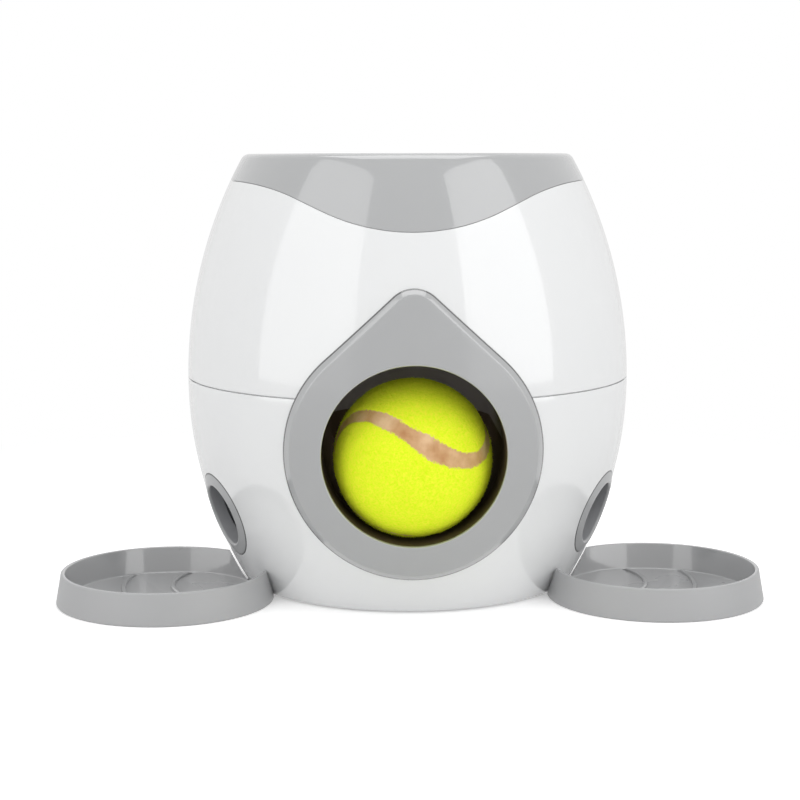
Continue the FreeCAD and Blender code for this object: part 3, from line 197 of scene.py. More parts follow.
def signed_volume(points: np.ndarray, faces: Sequence[tuple[int, ...]]) -> float:
    """Volume by the divergence theorem: a sixth of the sum of p0 . (p1 x p2) over a fan of each face."""
    total = 0.0
    for size in (3, 4):
        chosen = np.array([face for face in faces if len(face) == size])
        if len(chosen):
            corner = points[chosen]
            for k in range(1, size - 1):
                total += (corner[:, 0] * np.cross(corner[:, k], corner[:, k + 1])).sum() / 6
    return total


def add_object(name: str, data: bpy.types.ID) -> bpy.types.Object:
    """A new object at the origin, in the scene."""
    thing = bpy.data.objects.new(name, data)
    bpy.context.scene.collection.objects.link(thing)
    return thing


def shade(mesh: bpy.types.Mesh, crease: float) -> None:
    """Smooth shading, with the edges past an angle in degrees kept sharp."""
    mesh.shade_smooth()
    mesh.set_sharp_from_angle(angle=math.radians(crease))


def mesh_piece(name: str, points: np.ndarray, faces: Sequence[tuple[int, ...]],
               crease: float = CREASE) -> bpy.types.Object:
    """Make a smooth-shaded object whose faces point outwards.

    Args:
        name: name of the piece.
        points: vertices in millimetres.
        faces: vertex numbers of each face.
        crease: angle in degrees past which an edge stays sharp.

    Returns:
        The new object, at the origin.
    """
    if signed_volume(points, faces) < 0:
        faces = [face[::-1] for face in faces]
    mesh = bpy.data.meshes.new(name)
    mesh.from_pydata((points * MM).tolist(), [], faces)
    mesh.validate()
    shade(mesh, crease)
    return add_object(name, mesh)


def ring_piece(name: str, grid: np.ndarray) -> bpy.types.Object:
    """A closed ring from a grid of sections: sections wrap round, and so does each section's outline."""
    return mesh_piece(name, grid.reshape(-1, 3), grid_faces(*grid.shape[:2], Ends.JOINED))


def turned_grid(profile: np.ndarray, angles: np.ndarray) -> np.ndarray:
    """Turn profiles of radius and height about +Z: x = r sin(angle), y = -r cos(angle), z = height.

    Args:
        profile: array of points, or of one line of points for each angle; columns are radius and height.
        angles: angles from the front, in radians.

    Returns:
        Array of angles, points and coordinates.
    """
    lines = np.broadcast_to(profile, (len(angles),) + profile.shape[-2:])
    radius, height = lines[..., 0], lines[..., 1]
    turn = angles[:, None]
    return np.stack([radius * np.sin(turn), -radius * np.cos(turn), height], axis=-1)


def turned_piece(name: str, profile: np.ndarray, count: int) -> bpy.types.Object:
    """A solid of revolution from a profile that starts and ends on the axis.

    Args:
        name: name of the piece.
        profile: points of radius and height; the first and the last have a radius of zero.
        count: columns round the axis.

    Returns:
        The new object.
    """
    grid = turned_grid(profile[1:-1], circle(count)).transpose(1, 0, 2)
    poles = np.array([[0, 0, profile[0, 1]], [0, 0, profile[-1, 1]]])
    points = np.concatenate([grid.reshape(-1, 3), poles])
    return mesh_piece(name, points, grid_faces(grid.shape[0], count, Ends.POLES))


def move_mesh(piece: bpy.types.Object, matrix: Matrix) -> bpy.types.Object:
    """Turn and shift a piece's mesh, and leave its object at the origin."""
    piece.data.transform(matrix)
    return piece


def apply_changes(piece: bpy.types.Object, crease: float) -> None:
    """Replace a piece's mesh by what its modifiers make of it, and shade it."""
    bpy.context.view_layer.update()
    shaped = piece.evaluated_get(bpy.context.evaluated_depsgraph_get())
    mesh = bpy.data.meshes.new_from_object(shaped)
    piece.modifiers.clear()
    piece.data = mesh
    mesh.name = piece.name
    if "custom_normal" in mesh.attributes:
        mesh.attributes.remove(mesh.attributes["custom_normal"])
    shade(mesh, crease)


def cut_piece(piece: bpy.types.Object, cutters: Sequence[bpy.types.Object], join: bool = False) -> bpy.types.Object:
    """Cut pieces out of a piece, or join them on, and remove them.

    Args:
        piece: the piece that stays.
        cutters: closed pieces that are taken away or joined.
        join: join the pieces on instead of cutting them out.

    Returns:
        The piece with a new mesh.
    """
    for cutter in cutters:
        change = piece.modifiers.new("cut", "BOOLEAN")
        change.operation = "UNION" if join else "DIFFERENCE"
        change.solver = "EXACT"
        change.object = cutter
    apply_changes(piece, CREASE)
    for cutter in cutters:
        bpy.data.objects.remove(cutter)
    return piece


def mark(piece: bpy.types.Object, name: str, values: np.ndarray) -> None:
    """Keep one number for each of a piece's points under a name that its material reads."""
    layer = piece.data.attributes.new(name, "FLOAT", "POINT")
    layer.data.foreach_set("value", values.astype(np.float32).ravel())


def face_vectors(piece: bpy.types.Object, kind: str) -> np.ndarray:
    """The "center" or the "normal" of each face, as an array of faces and coordinates."""
    values = np.zeros(len(piece.data.polygons) * 3)
    piece.data.polygons.foreach_get(kind, values)
    return values.reshape(-1, 3)


def second_finish(piece: bpy.types.Object, chosen: np.ndarray) -> None:
    """Give the chosen faces the piece's second material."""
    piece.data.polygons.foreach_set("material_index", chosen.astype(np.int32))


def bar(name: str, radius: float, start: Sequence[float], end: Sequence[float], count: int = 96) -> bpy.types.Object:
    """A plain round bar between two points, used to cut a hole or as a column."""
    first, last = Vector(start), Vector(end)
    length = (last - first).length
    profile = np.array([[0, 0], [radius, 0], [radius, length], [0, length]], float)
    piece = turned_piece(name, profile, count)
    turn = Vector((0, 0, 1)).rotation_difference(last - first).to_matrix().to_4x4()
    return move_mesh(piece, Matrix.Translation(first * MM) @ turn)


# ---- finishes


def add_node(tree: bpy.types.NodeTree, kind: str, settings: dict[str, object] | None = None,
             links: dict[str, bpy.types.NodeSocket] | None = None) -> bpy.types.Node:
    """Add a shader node.

    Args:
        tree: the material's node tree.
        kind: the node's type name without "ShaderNode".
        settings: a value for each named property, and for each named or numbered input.
        links: the output that feeds each named or numbered input.

    Returns:
        The new node.
    """
    node = tree.nodes.new("ShaderNode" + kind)
    for name, value in (settings or {}).items():
        if hasattr(node, name):
            setattr(node, name, value)
        else:
            node.inputs[int(name) if name.isdigit() else name].default_value = value
    for name, source in (links or {}).items():
        tree.links.new(source, node.inputs[int(name) if name.isdigit() else name])
    return node


def empty_tree(owner: bpy.types.Material | bpy.types.World) -> bpy.types.NodeTree:
    """Give a material or a world an empty node tree."""
    owner.use_nodes = True
    owner.node_tree.nodes.clear()
    return owner.node_tree


def noise(tree: bpy.types.NodeTree, place: bpy.types.NodeSocket, size: float, detail: float,
          roughness: float = 0.5) -> bpy.types.NodeSocket:
    """Noise whose features are this many millimetres wide, on coordinates in metres."""
    return add_node(tree, "TexNoise", {"Scale": 1 / (size * MM), "Detail": detail, "Roughness": roughness},
                    {"Vector": place}).outputs["Fac"]


def mix(tree: bpy.types.NodeTree, share: bpy.types.NodeSocket, low: str, high: str) -> bpy.types.NodeSocket:
    """Two hex colours mixed by a share."""
    return add_node(tree, "Mix", {"data_type": "RGBA", "6": linear(low), "7": linear(high)},
                    {"0": share}).outputs[2]


def spread(tree: bpy.types.NodeTree, value: bpy.types.NodeSocket, bounds: tuple[float, float],
           to: tuple[float, float] = (0.0, 1.0), smooth: bool = False) -> bpy.types.NodeSocket:
    """A value spread from its bounds to other bounds, held at their ends."""
    return add_node(tree, "MapRange", {"interpolation_type": "SMOOTHSTEP" if smooth else "LINEAR",
                                       "From Min": bounds[0], "From Max": bounds[1], "To Min": to[0],
                                       "To Max": to[1]}, {"Value": value}).outputs["Result"]


@dataclass(frozen=True)
class MouldedPlastic:
    """Injection-moulded plastic with a faint orange-peel surface and a little unevenness of its gloss."""

    name: str
    colour: str
    shade: str
    roughness: float = 0.2
    rough_spread: float = 0.05
    peel_mm: float = 1.6
    peel_height: float = 0.02
    cloud_mm: float = 45.0
    coat: float = 0.0
    coat_roughness: float = 0.06
    coat_ior: float = 1.5
    # Colour of the painted shadow in the gap along a joint.
    joint_painted_shadow: str = "4a4a4b"

    def build(self) -> bpy.types.Material:
        """Make the material: cloudy colour, a painted gap shadow where the joint attribute is, and a fine bump."""
        material = bpy.data.materials.new(self.name)
        tree = empty_tree(material)
        place = add_node(tree, "TexCoord").outputs["Object"]
        cloud = noise(tree, place, self.cloud_mm, 3.0)
        joint = add_node(tree, "Attribute", {"attribute_name": "joint"}).outputs["Fac"]
        with_painted_joint_shadow = add_node(tree, "Mix", {"data_type": "RGBA", "7": linear(self.joint_painted_shadow)},
                         {"0": joint, "6": mix(tree, cloud, self.shade, self.colour)})
        grain = noise(tree, place, self.peel_mm, 2.0)
        gloss = spread(tree, cloud, (0.0, 1.0),
                       (self.roughness - self.rough_spread, self.roughness + self.rough_spread))
        peel = add_node(tree, "Bump", {"Strength": 1.0, "Distance": self.peel_height * MM}, {"Height": grain})
        surface = add_node(tree, "BsdfPrincipled", {"Coat Weight": self.coat, "Coat IOR": self.coat_ior,
                                                    "Coat Roughness": self.coat_roughness},
                           {"Base Color": with_painted_joint_shadow.outputs[2], "Roughness": gloss, "Normal": peel.outputs["Normal"]})
        add_node(tree, "OutputMaterial", None, {"Surface": surface.outputs["BSDF"]})
        return material


@dataclass(frozen=True)
class Metal:
    """Turned or drawn metal with fine scratches along one way and slightly uneven gloss."""

    name: str
    colour: str
    shade: str
    roughness: float = 0.3
    scratch_mm: float = 0.25
    stretch: tuple[float, float, float] = (1.0, 1.0, 0.05)
    rough_spread: float = 0.08
    scratch_height: float = 0.004

    def build(self) -> bpy.types.Material:
        """Make the material: stretched noise gives the scratches of the bump, the tone and the roughness."""
        material = bpy.data.materials.new(self.name)
        tree = empty_tree(material)
        place = add_node(tree, "TexCoord").outputs["Object"]
        along = add_node(tree, "Mapping", {"Scale": self.stretch}, {"Vector": place})
        scratch = noise(tree, along.outputs["Vector"], self.scratch_mm, 3.0)
        gloss = spread(tree, scratch, (0.0, 1.0),
                       (self.roughness - self.rough_spread, self.roughness + self.rough_spread))
        lines = add_node(tree, "Bump", {"Strength": 0.6, "Distance": self.scratch_height * MM}, {"Height": scratch})
        surface = add_node(tree, "BsdfPrincipled", {"Metallic": 1.0},
                           {"Base Color": mix(tree, scratch, self.shade, self.colour), "Roughness": gloss,
                            "Normal": lines.outputs["Normal"]})
        add_node(tree, "OutputMaterial", None, {"Surface": surface.outputs["BSDF"]})
        return material


@dataclass(frozen=True)
class BallFelt:
    """Needle-punched felt of wool and nylon, dyed yellow-green, with a pale rubber seam between its two halves."""

    name: str = "dyed needle-punched felt"
    bright: str = "f6fd44"
    deep: str = "d4ee0c"
    sheen: str = "eef63c"
    sheen_weight: float = 0.65
    # A painted glow stands in for the fluorescent dye; ambient occlusion over shade_mm darkens it as painted shade.
    painted_glow: str = "ecfa14"
    painted_glow_strength: float = 0.14
    shade_mm: float = 30.0
    seam_light: str = "efc8a2"
    seam_dark: str = "c78c66"
    tuft_mm: float = 0.95
    fibre_mm: float = 0.35
    patch_mm: float = 11.0
    tuft_height: float = 0.6
    nub_range: tuple[float, float] = (0.3, 0.66)
    worn_range: tuple[float, float] = (0.38, 0.66)
    seam_edge: tuple[float, float] = (0.44, 0.58)
    fray: float = 0.5
    fibre_share: float = 0.4

    def build(self) -> bpy.types.Material:
        """Make the material: tufted tone and bump, mixed to the seam's colours by the mesh's seam attribute.

        The seam's edge is frayed by the sum of the tufts' and the patches' noise. The felt has a painted glow that
        stands in for its fluorescent dye; ambient occlusion darkens the glow as painted shade where the mouth hides
        the felt, and the seam doesn't glow.
        """
        material = bpy.data.materials.new(self.name)
        tree = empty_tree(material)
        place = add_node(tree, "TexCoord").outputs["Object"]
        seam = add_node(tree, "Attribute", {"attribute_name": "seam"}).outputs["Fac"]
        tuft = noise(tree, place, self.tuft_mm, 4.0, 0.65)
        fibre = noise(tree, place, self.fibre_mm, 3.0)
        patch = noise(tree, place, self.patch_mm, 4.0)
        felt = mix(tree, spread(tree, tuft, self.nub_range), self.deep, self.bright)
        rubber = mix(tree, spread(tree, patch, self.worn_range), self.seam_dark, self.seam_light)
        frayed = add_node(tree, "Math", {"operation": "MULTIPLY_ADD", "1": self.fray, "2": -self.fray}, {"0": tuft})
        wobble = add_node(tree, "Math", {"operation": "MULTIPLY_ADD", "1": self.fray},
                          {"0": patch, "2": frayed.outputs["Value"]})
        edge = add_node(tree, "Math", {"operation": "ADD"}, {"0": seam, "1": wobble.outputs["Value"]})
        share = spread(tree, edge.outputs["Value"], self.seam_edge, smooth=True)
        tone = add_node(tree, "Mix", {"data_type": "RGBA"}, {"0": share, "6": felt, "7": rubber})
        # Ambient occlusion darkens the painted glow: painted shade where the mouth hides the felt.
        light = add_node(tree, "AmbientOcclusion", {"samples": 8, "Distance": self.shade_mm * MM}).outputs["AO"]
        painted_glow_level = add_node(tree, "Math", {"operation": "MULTIPLY", "1": self.painted_glow_strength}, {"0": light})
        nap = add_node(tree, "Math", {"operation": "MULTIPLY_ADD", "1": self.fibre_share}, {"0": fibre, "2": tuft})
        rise = add_node(tree, "Bump", {"Strength": 0.8, "Distance": self.tuft_height * MM},
                        {"Height": nap.outputs["Value"]})
        surface = add_node(tree, "BsdfPrincipled", {"Roughness": 1.0, "Sheen Weight": self.sheen_weight,
                                                    "Sheen Roughness": 0.6, "Specular IOR Level": 0.1,
                                                    "Sheen Tint": linear(self.sheen)},
                           {"Base Color": tone.outputs[2], "Normal": rise.outputs["Normal"],
                            "Emission Color": mix(tree, share, self.painted_glow, "000000"),
                            "Emission Strength": painted_glow_level.outputs["Value"]})
        add_node(tree, "OutputMaterial", None, {"Surface": surface.outputs["BSDF"]})
        return material


# ABS with a polished mould: bright, almost clean white with clear reflections of the lamps.
WHITE_ABS = MouldedPlastic("white polished ABS", "eeefef", "eaebec", 0.16, 0.03, 2.2, 0.004, 60.0, 1.0, 0.04, 1.6)
# The same plastic in grey, dyed in the mass, with a slightly softer polish.
GREY_ABS = MouldedPlastic("grey polished ABS", "afb0b1", "abacad", 0.2, 0.04, 1.8, 0.005, 40.0, 1.0, 0.05, 1.8)
# The mouth's plate and the outlets come from a satin mould: the lamps spread out to a soft sheen on them.
GREY_SATIN = MouldedPlastic("grey satin ABS", "afb0b1", "abacad", 0.32, 0.04, 1.6, 0.01, 40.0, 0.4, 0.12)
# Grey polypropylene of the dishes: the outside is satin, the inside has a clear shine that draws the lamps.
DISH_SATIN = MouldedPlastic("grey satin polypropylene", "b0b0b1", "abacad", 0.42, 0.05, 1.4, 0.012, 30.0)
GREY_DISH = MouldedPlastic("grey glossy polypropylene", "acacad", "a5a6a7", 0.28, 0.05, 1.6, 0.006, 30.0, 1.0,
                           0.07, 1.8)
# The lower sleeve and the ramp behind the mouth are matt and painted brown-black as shade of a deep tunnel.
TUNNEL_PAINTED_SHADE = MouldedPlastic("matt polystyrene painted dark as shade", "56473b", "4c3e33", 0.5, 0.08, 1.0, 0.02, 12.0)
# The upper part of the sleeve and of the ramp's tunnel is a plain grey: the mouth's roof reads as grey over brown.
ROOF_GREY = MouldedPlastic("dark grey matt polystyrene", "9a949a", "8e888e", 0.5, 0.08, 1.0, 0.02, 12.0)
# The guide above the ball is pale, so that it passes on what light gets into the tunnel.
GUIDE_WHITE = MouldedPlastic("white matt polystyrene", "e2e1d8", "d9d8cf", 0.5, 0.08, 1.0, 0.02, 14.0)
# The bore of each outlet is matt and painted a darker grey than the ring's face, as shade inside the hole.
BORE_PAINTED_SHADE = MouldedPlastic("grey matt ABS painted darker as shade", "a2a3a6", "9a9b9e", 0.5, 0.06, 1.0, 0.03, 14.0)
# The treat chutes are moulded in a middle grey, so that the outlets don't look black inside.
CHUTE_GREY = MouldedPlastic("grey satin polystyrene", "606164", "57585b", 0.4, 0.06, 1.0, 0.02, 14.0)
# Natural polypropylene of the hidden hoppers: milky and dull.
NATURAL_PP = MouldedPlastic("natural polypropylene", "d6d8d8", "c9cccd", 0.42, 0.06, 1.2, 0.02, 25.0)
# Acetal of the wheels and rotors: waxy grey.
GREY_ACETAL = MouldedPlastic("grey acetal", "8f9396", "83878b", 0.36, 0.05, 0.9, 0.015, 18.0)
# Plain white ABS of the base plate, with a spark-eroded texture.
TEXTURED_ABS = MouldedPlastic("white textured ABS", "dfe0e1", "d6d7d9", 0.55, 0.05, 0.6, 0.04, 35.0)
# Thermoplastic rubber of the feet: dark, dry and dusty.
FOOT_RUBBER = MouldedPlastic("dark thermoplastic rubber", "343536", "27282a", 0.7, 0.08, 0.7, 0.05, 9.0)
# Natural rubber inside the ball.
BALL_RUBBER = MouldedPlastic("vulcanised rubber", "4a403a", "39302b", 0.7, 0.08, 1.0, 0.05, 9.0)
# Screws, pin and shaft: bright and cool, with fine lines from the rolling and the plating.
ZINC_STEEL = Metal("zinc-plated steel", "c9cccf", "aeb2b6", 0.28)
# Clips and spring: darker, with the dull shine of oil.
SPRING_STEEL = Metal("oiled spring steel", "8d9196", "6f7378", 0.34)
# Bushes: warm and grainy, pressed from powder, so without a direction.
SINTERED_BRONZE = Metal("sintered bronze", "c79a5c", "a77d45", 0.42, 0.4, (1.0, 1.0, 1.0))
# The ball's cover: a bright, dry nap that swallows highlights, with the bare rubber seam in it.
FELT = BallFelt()


class Dresser:
    """Builds each finish once and gives it to pieces and CAD nodes."""

    def __init__(self) -> None:
        """Start with no materials made."""
        self.made: dict[str, bpy.types.Material] = {}

    def dress(self, piece: bpy.types.Object, *finishes: MouldedPlastic | Metal | BallFelt) -> None:
        """Put finishes on a piece or a CAD node.

        Args:
            piece: the object to dress.
            finishes: one finish for each material number of its faces; each is built on its first use.
        """
        number = np.zeros(len(piece.data.polygons), np.int32)
        piece.data.polygons.foreach_get("material_index", number)
        piece.data.materials.clear()
        for finish in finishes:
            if finish.name not in self.made:
                self.made[finish.name] = finish.build()
            piece.data.materials.append(self.made[finish.name])
        piece.data.polygons.foreach_set("material_index", np.minimum(number, len(finishes) - 1))


# ---- the barrel's form


@dataclass(frozen=True)
class Barrel:
    """The casing's outer form: two arcs of revolution that meet at the belly."""

    height: float = 182.0
    belly_radius: float = 94.0
    belly_height: float = 87.0
    base_radius: float = 70.4
    top_radius: float = 69.1
    foot_gap: float = 1.0
    wall: float = 2.5

    def arcs(self) -> tuple[float, float]:
        """Radii of the lower and the upper arc: (rise squared + draw squared) / (2 draw)."""
        low_rise, low_draw = self.belly_height - self.foot_gap, self.belly_radius - self.base_radius
        high_rise, high_draw = self.height - self.belly_height, self.belly_radius - self.top_radius
        return ((low_rise**2 + low_draw**2) / (2 * low_draw), (high_rise**2 + high_draw**2) / (2 * high_draw))

    def radius(self, height: np.ndarray | float, inset: np.ndarray | float = 0.0) -> np.ndarray:
        """Radius at a height, a distance inside the face: belly - arc + root((arc - inset)^2 - rise^2)."""
        low, high = self.arcs()
        height = np.asarray(height, float)
        arc = np.where(height >= self.belly_height, high, low)
        return self.belly_radius - arc + np.sqrt((arc - inset) ** 2 - (height - self.belly_height) ** 2)

    def face(self, side: np.ndarray, height: np.ndarray, outset: float) -> np.ndarray:
        """The y of the front face beside the middle: -root(radius^2 - x^2)."""
        return -np.sqrt(self.radius(height, -outset) ** 2 - np.asarray(side) ** 2)

    def run(self, low: np.ndarray, high: np.ndarray, inset: float, count: int) -> np.ndarray:
        """Points of radius and height along the face, from one height to another for each line.

        Args:
            low: starting height of each line.
            high: ending height of each line.
            inset: distance inside the face.
            count: number of points, both ends included.

        Returns:
            Array of lines, points and (radius, height).
        """
        share = np.linspace(0, 1, count)[None]
        height = low[:, None] * (1 - share) + high[:, None] * share
        return np.stack([self.radius(height, inset), height], axis=-1)


@dataclass(frozen=True)
class Wave:
    """The wavy joint between the upper shell and the cap, as seen from the front and the back."""

    low: float = 152.4
    high: float = 171.0
    slope: float = 24.3
    low_radius: float = 85.0
    high_radius: float = 70.0

    def height(self, across: np.ndarray) -> np.ndarray:
        """Height at a distance from the middle: an arc, a straight slope, a contrary arc and a level part."""
        slope = math.radians(self.slope)
        side = np.abs(across)
        low_side = self.low_radius * math.sin(slope)
        low_end = self.low + self.low_radius * (1 - math.cos(slope))
        corner = low_side + (self.high - low_end) / math.tan(slope)
        reach = self.high_radius * math.tan(slope / 2)
        high_side = corner - reach * math.cos(slope)
        high_end = corner + reach
        valley = self.low + self.low_radius - np.sqrt(np.maximum(self.low_radius**2 - side**2, 0))
        straight = low_end + (side - low_side) * math.tan(slope)
        crest = self.high - self.high_radius + np.sqrt(np.maximum(self.high_radius**2 - (high_end - side) ** 2, 0))
        return np.select([side <= low_side, side <= high_side, side <= high_end], [valley, straight, crest], self.high)

    def edge(self, barrel: Barrel, angles: np.ndarray, shift: float) -> np.ndarray:
        """Height of the joint on the barrel at each angle, by repeated substitution of radius and height."""
        height = np.full(len(angles), self.low)
        for _ in range(40):
            height = self.height(barrel.radius(height) * np.sin(angles)) + shift
        return height


BARREL = Barrel()
WAVE = Wave()


@dataclass
class Casing:
    """The two white shells of the barrel."""

    seam_low: float = 88.25
    seam_high: float = 88.75
    lip_height: float = 3.0
    lip_inset: float = 1.4
    rebate_inset: float = 1.25
    mouth_height: float = 66.5
    sleeve_hole: float = 38.8
    cap_lap: float = 4.0
    joint_half: float = 0.08
    edge_round: float = 0.15
    outlet_hole: float = 18.5
    columns: int = 360
    column_places: tuple[tuple[float, float], ...] = ((-43, -49), (43, -49), (0, 64))
    boss_places: tuple[tuple[float, float], ...] = ((0, -62), (-58.26, 21.21), (58.26, 21.21))
    post_radius: float = 4.5
    post_foot: float = 5.8
    column_top: float = 88.2
    boss_top: float = 18.0
    socket_foot: float = 92.5
    socket_top: float = 95.0
    hole_end: float = -120.0
    outlet_reach: float = 14.0

    def angles(self) -> np.ndarray:
        """Angles of the columns, from the front."""
        return circle(self.columns)

    def upper(self) -> bpy.types.Object:
        """Upper shell: outer wall to the wavy joint, a thin lip inside the cap and a rebate at the seam."""
        angles = self.angles()
        joint = WAVE.edge(BARREL, angles, -self.joint_half)
        lip_top = joint + self.cap_lap
        low = np.full(len(angles), self.seam_high)
        rebate = low + self.lip_height + 0.05
        outline = np.concatenate([
            BARREL.run(low, joint, 0, 28),
            BARREL.run(joint, lip_top, self.lip_inset, 3),
            BARREL.run(lip_top, rebate, BARREL.wall, 24),
            BARREL.run(rebate, low, self.rebate_inset, 2),
        ], axis=1)
        radii = np.zeros(outline.shape[1])
        radii[[0, 27]] = self.edge_round
        return ring_piece("upper_shell_skin", turned_grid(rounded(outline, radii), angles))

    def lower(self) -> bpy.types.Object:
        """Lower shell: outer wall from the floor gap to the seam, with the lip that stands in the rebate."""
        angles = self.angles()
        low = np.full(len(angles), BARREL.foot_gap)
        seam = np.full(len(angles), self.seam_low)
        lip_top = seam + self.lip_height
        outline = np.concatenate([
            BARREL.run(low, seam, 0, 28),
            BARREL.run(seam, lip_top, self.lip_inset, 2),
            BARREL.run(lip_top, low, BARREL.wall, 28),
        ], axis=1)
        radii = np.zeros(outline.shape[1])
        radii[[0, 27]] = self.edge_round
        radii[-1] = self.edge_round
        return ring_piece("lower_shell_skin", turned_grid(rounded(outline, radii), angles))

    def posts(self, name: str, places: Sequence[tuple[float, float]], low: float, high: float) -> bpy.types.Object:
        """Round posts with a thin rib each to the wall, joined to one piece."""
        pieces = []
        for number, (x, y) in enumerate(places):
            pieces.append(bar(f"{name}_{number}", self.post_radius, (x, y, low), (x, y, high), 48))
            reach = math.hypot(x, y)
            wall = float(min(BARREL.radius(low, 1.5), BARREL.radius(high, 1.5)))
            along = Vector((x / reach, y / reach, 0))
            across = Vector((-along.y, along.x, 0))
            corners = []
            for height in (low, high):
                for out, side in ((reach, -1), (wall, -1), (wall, 1), (reach, 1)):
                    corners.append(along * out + across * side + Vector((0, 0, height)))
            pieces.append(mesh_piece(f"{name}_rib_{number}", np.array([tuple(c) for c in corners]), BOX_FACES))
        return cut_piece(pieces[0], pieces[1:], join=True)

    def build(self, dresser: Dresser, outlets: Sequence["Outlet"]) -> None:
        """Make both shells with their holes, dress them and put them on the machine.

        Args:
            dresser: gives the finish.
            outlets: the side outlets, which give their axes.
        """
        mouth = (0, 0, self.mouth_height), (0, self.hole_end, self.mouth_height)
        upper = cut_piece(self.upper(), [bar("hole", self.sleeve_hole, *mouth)])
        holes = [bar("hole", self.sleeve_hole, *mouth)]
        for outlet in outlets:
            start, end = outlet.point(-self.outlet_reach), outlet.point(self.outlet_reach)
            holes.append(bar(f"hole_{outlet.side.name}", self.outlet_hole, start, end))
            holes.append(outlet.notch())
        lower = cut_piece(self.lower(), holes)
        columns = self.posts("shell_columns", self.column_places, self.post_foot, self.column_top)
        bosses = self.posts("plate_bosses", self.boss_places, self.post_foot, self.boss_top)
        sockets = self.posts("column_sockets", self.column_places, self.socket_foot, self.socket_top)
        for piece in (upper, lower, columns, bosses, sockets):
            dresser.dress(piece, WHITE_ABS)
            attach(piece, "machine")
        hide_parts("upper_shell")
        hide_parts("lower_shell")
        LOG.info("casing: two shells, columns, bosses and sockets")


@dataclass
class Cap:
    """Grey collar with a wavy edge; its rim turns in to the funnel and the spout."""

    rim_round: float = 4.0
    mouth_round: float = 1.2
    corner_run: float = 5.5
    rim_low: float = 179.0
    funnel_wall: float = 2.6
    funnel_radius: float = 62.0
    throat_radius: float = 34.0
    funnel_bottom: float = 154.0
    spout_low: float = 148.0
    spout_radius: float = 35.7
    skirt_inset: float = 1.1
    cap_lap: float = 4.3
    joint_half: float = 0.08
    edge_round: float = 0.15
    columns: int = 360

    def build(self, dresser: Dresser) -> None:
        """Make the cap as one closed ring whose lower edge follows the wave, and put it on its body."""
        angles = circle(self.columns)
        joint = WAVE.edge(BARREL, angles, self.joint_half)
        step = joint + self.cap_lap
        top = np.full(len(angles), BARREL.height)
        under = np.full(len(angles), self.rim_low - 0.5)

        def level(radius: float, height: float) -> np.ndarray:
            """One point of the profile, the same at every angle."""
            return np.broadcast_to(np.array([radius, height]), (len(angles), 1, 2))

        outer = np.concatenate([BARREL.run(joint, top - self.corner_run, 0, 16), BARREL.run(top, top, 0, 1)], axis=1)
        funnel_top = level(self.funnel_radius, BARREL.height)
        throat = level(self.throat_radius, self.funnel_bottom)
        slope = between(funnel_top[:, 0], throat[:, 0], 8)
        outline = np.concatenate([
            outer, funnel_top, slope, throat, level(self.throat_radius, self.spout_low),
            level(self.spout_radius, self.spout_low), level(self.spout_radius, self.funnel_bottom - 1.0),
            level(self.funnel_radius + self.funnel_wall, self.rim_low), BARREL.run(under, step, BARREL.wall, 6),
            BARREL.run(step, joint, self.skirt_inset, 3),
        ], axis=1)
        radii = np.zeros(outline.shape[1])
        radii[0] = self.edge_round
        radii[16] = self.rim_round
        radii[17] = self.mouth_round
        radii[26] = 2.0
        radii[27] = 0.5
        cap = ring_piece("cap_collar_and_funnel", turned_grid(rounded(outline, radii, 6), angles))
        dresser.dress(cap, GREY_ABS)
        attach(cap, "cap")
        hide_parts("top_cap")
        LOG.info("cap: collar, rim, funnel and spout")


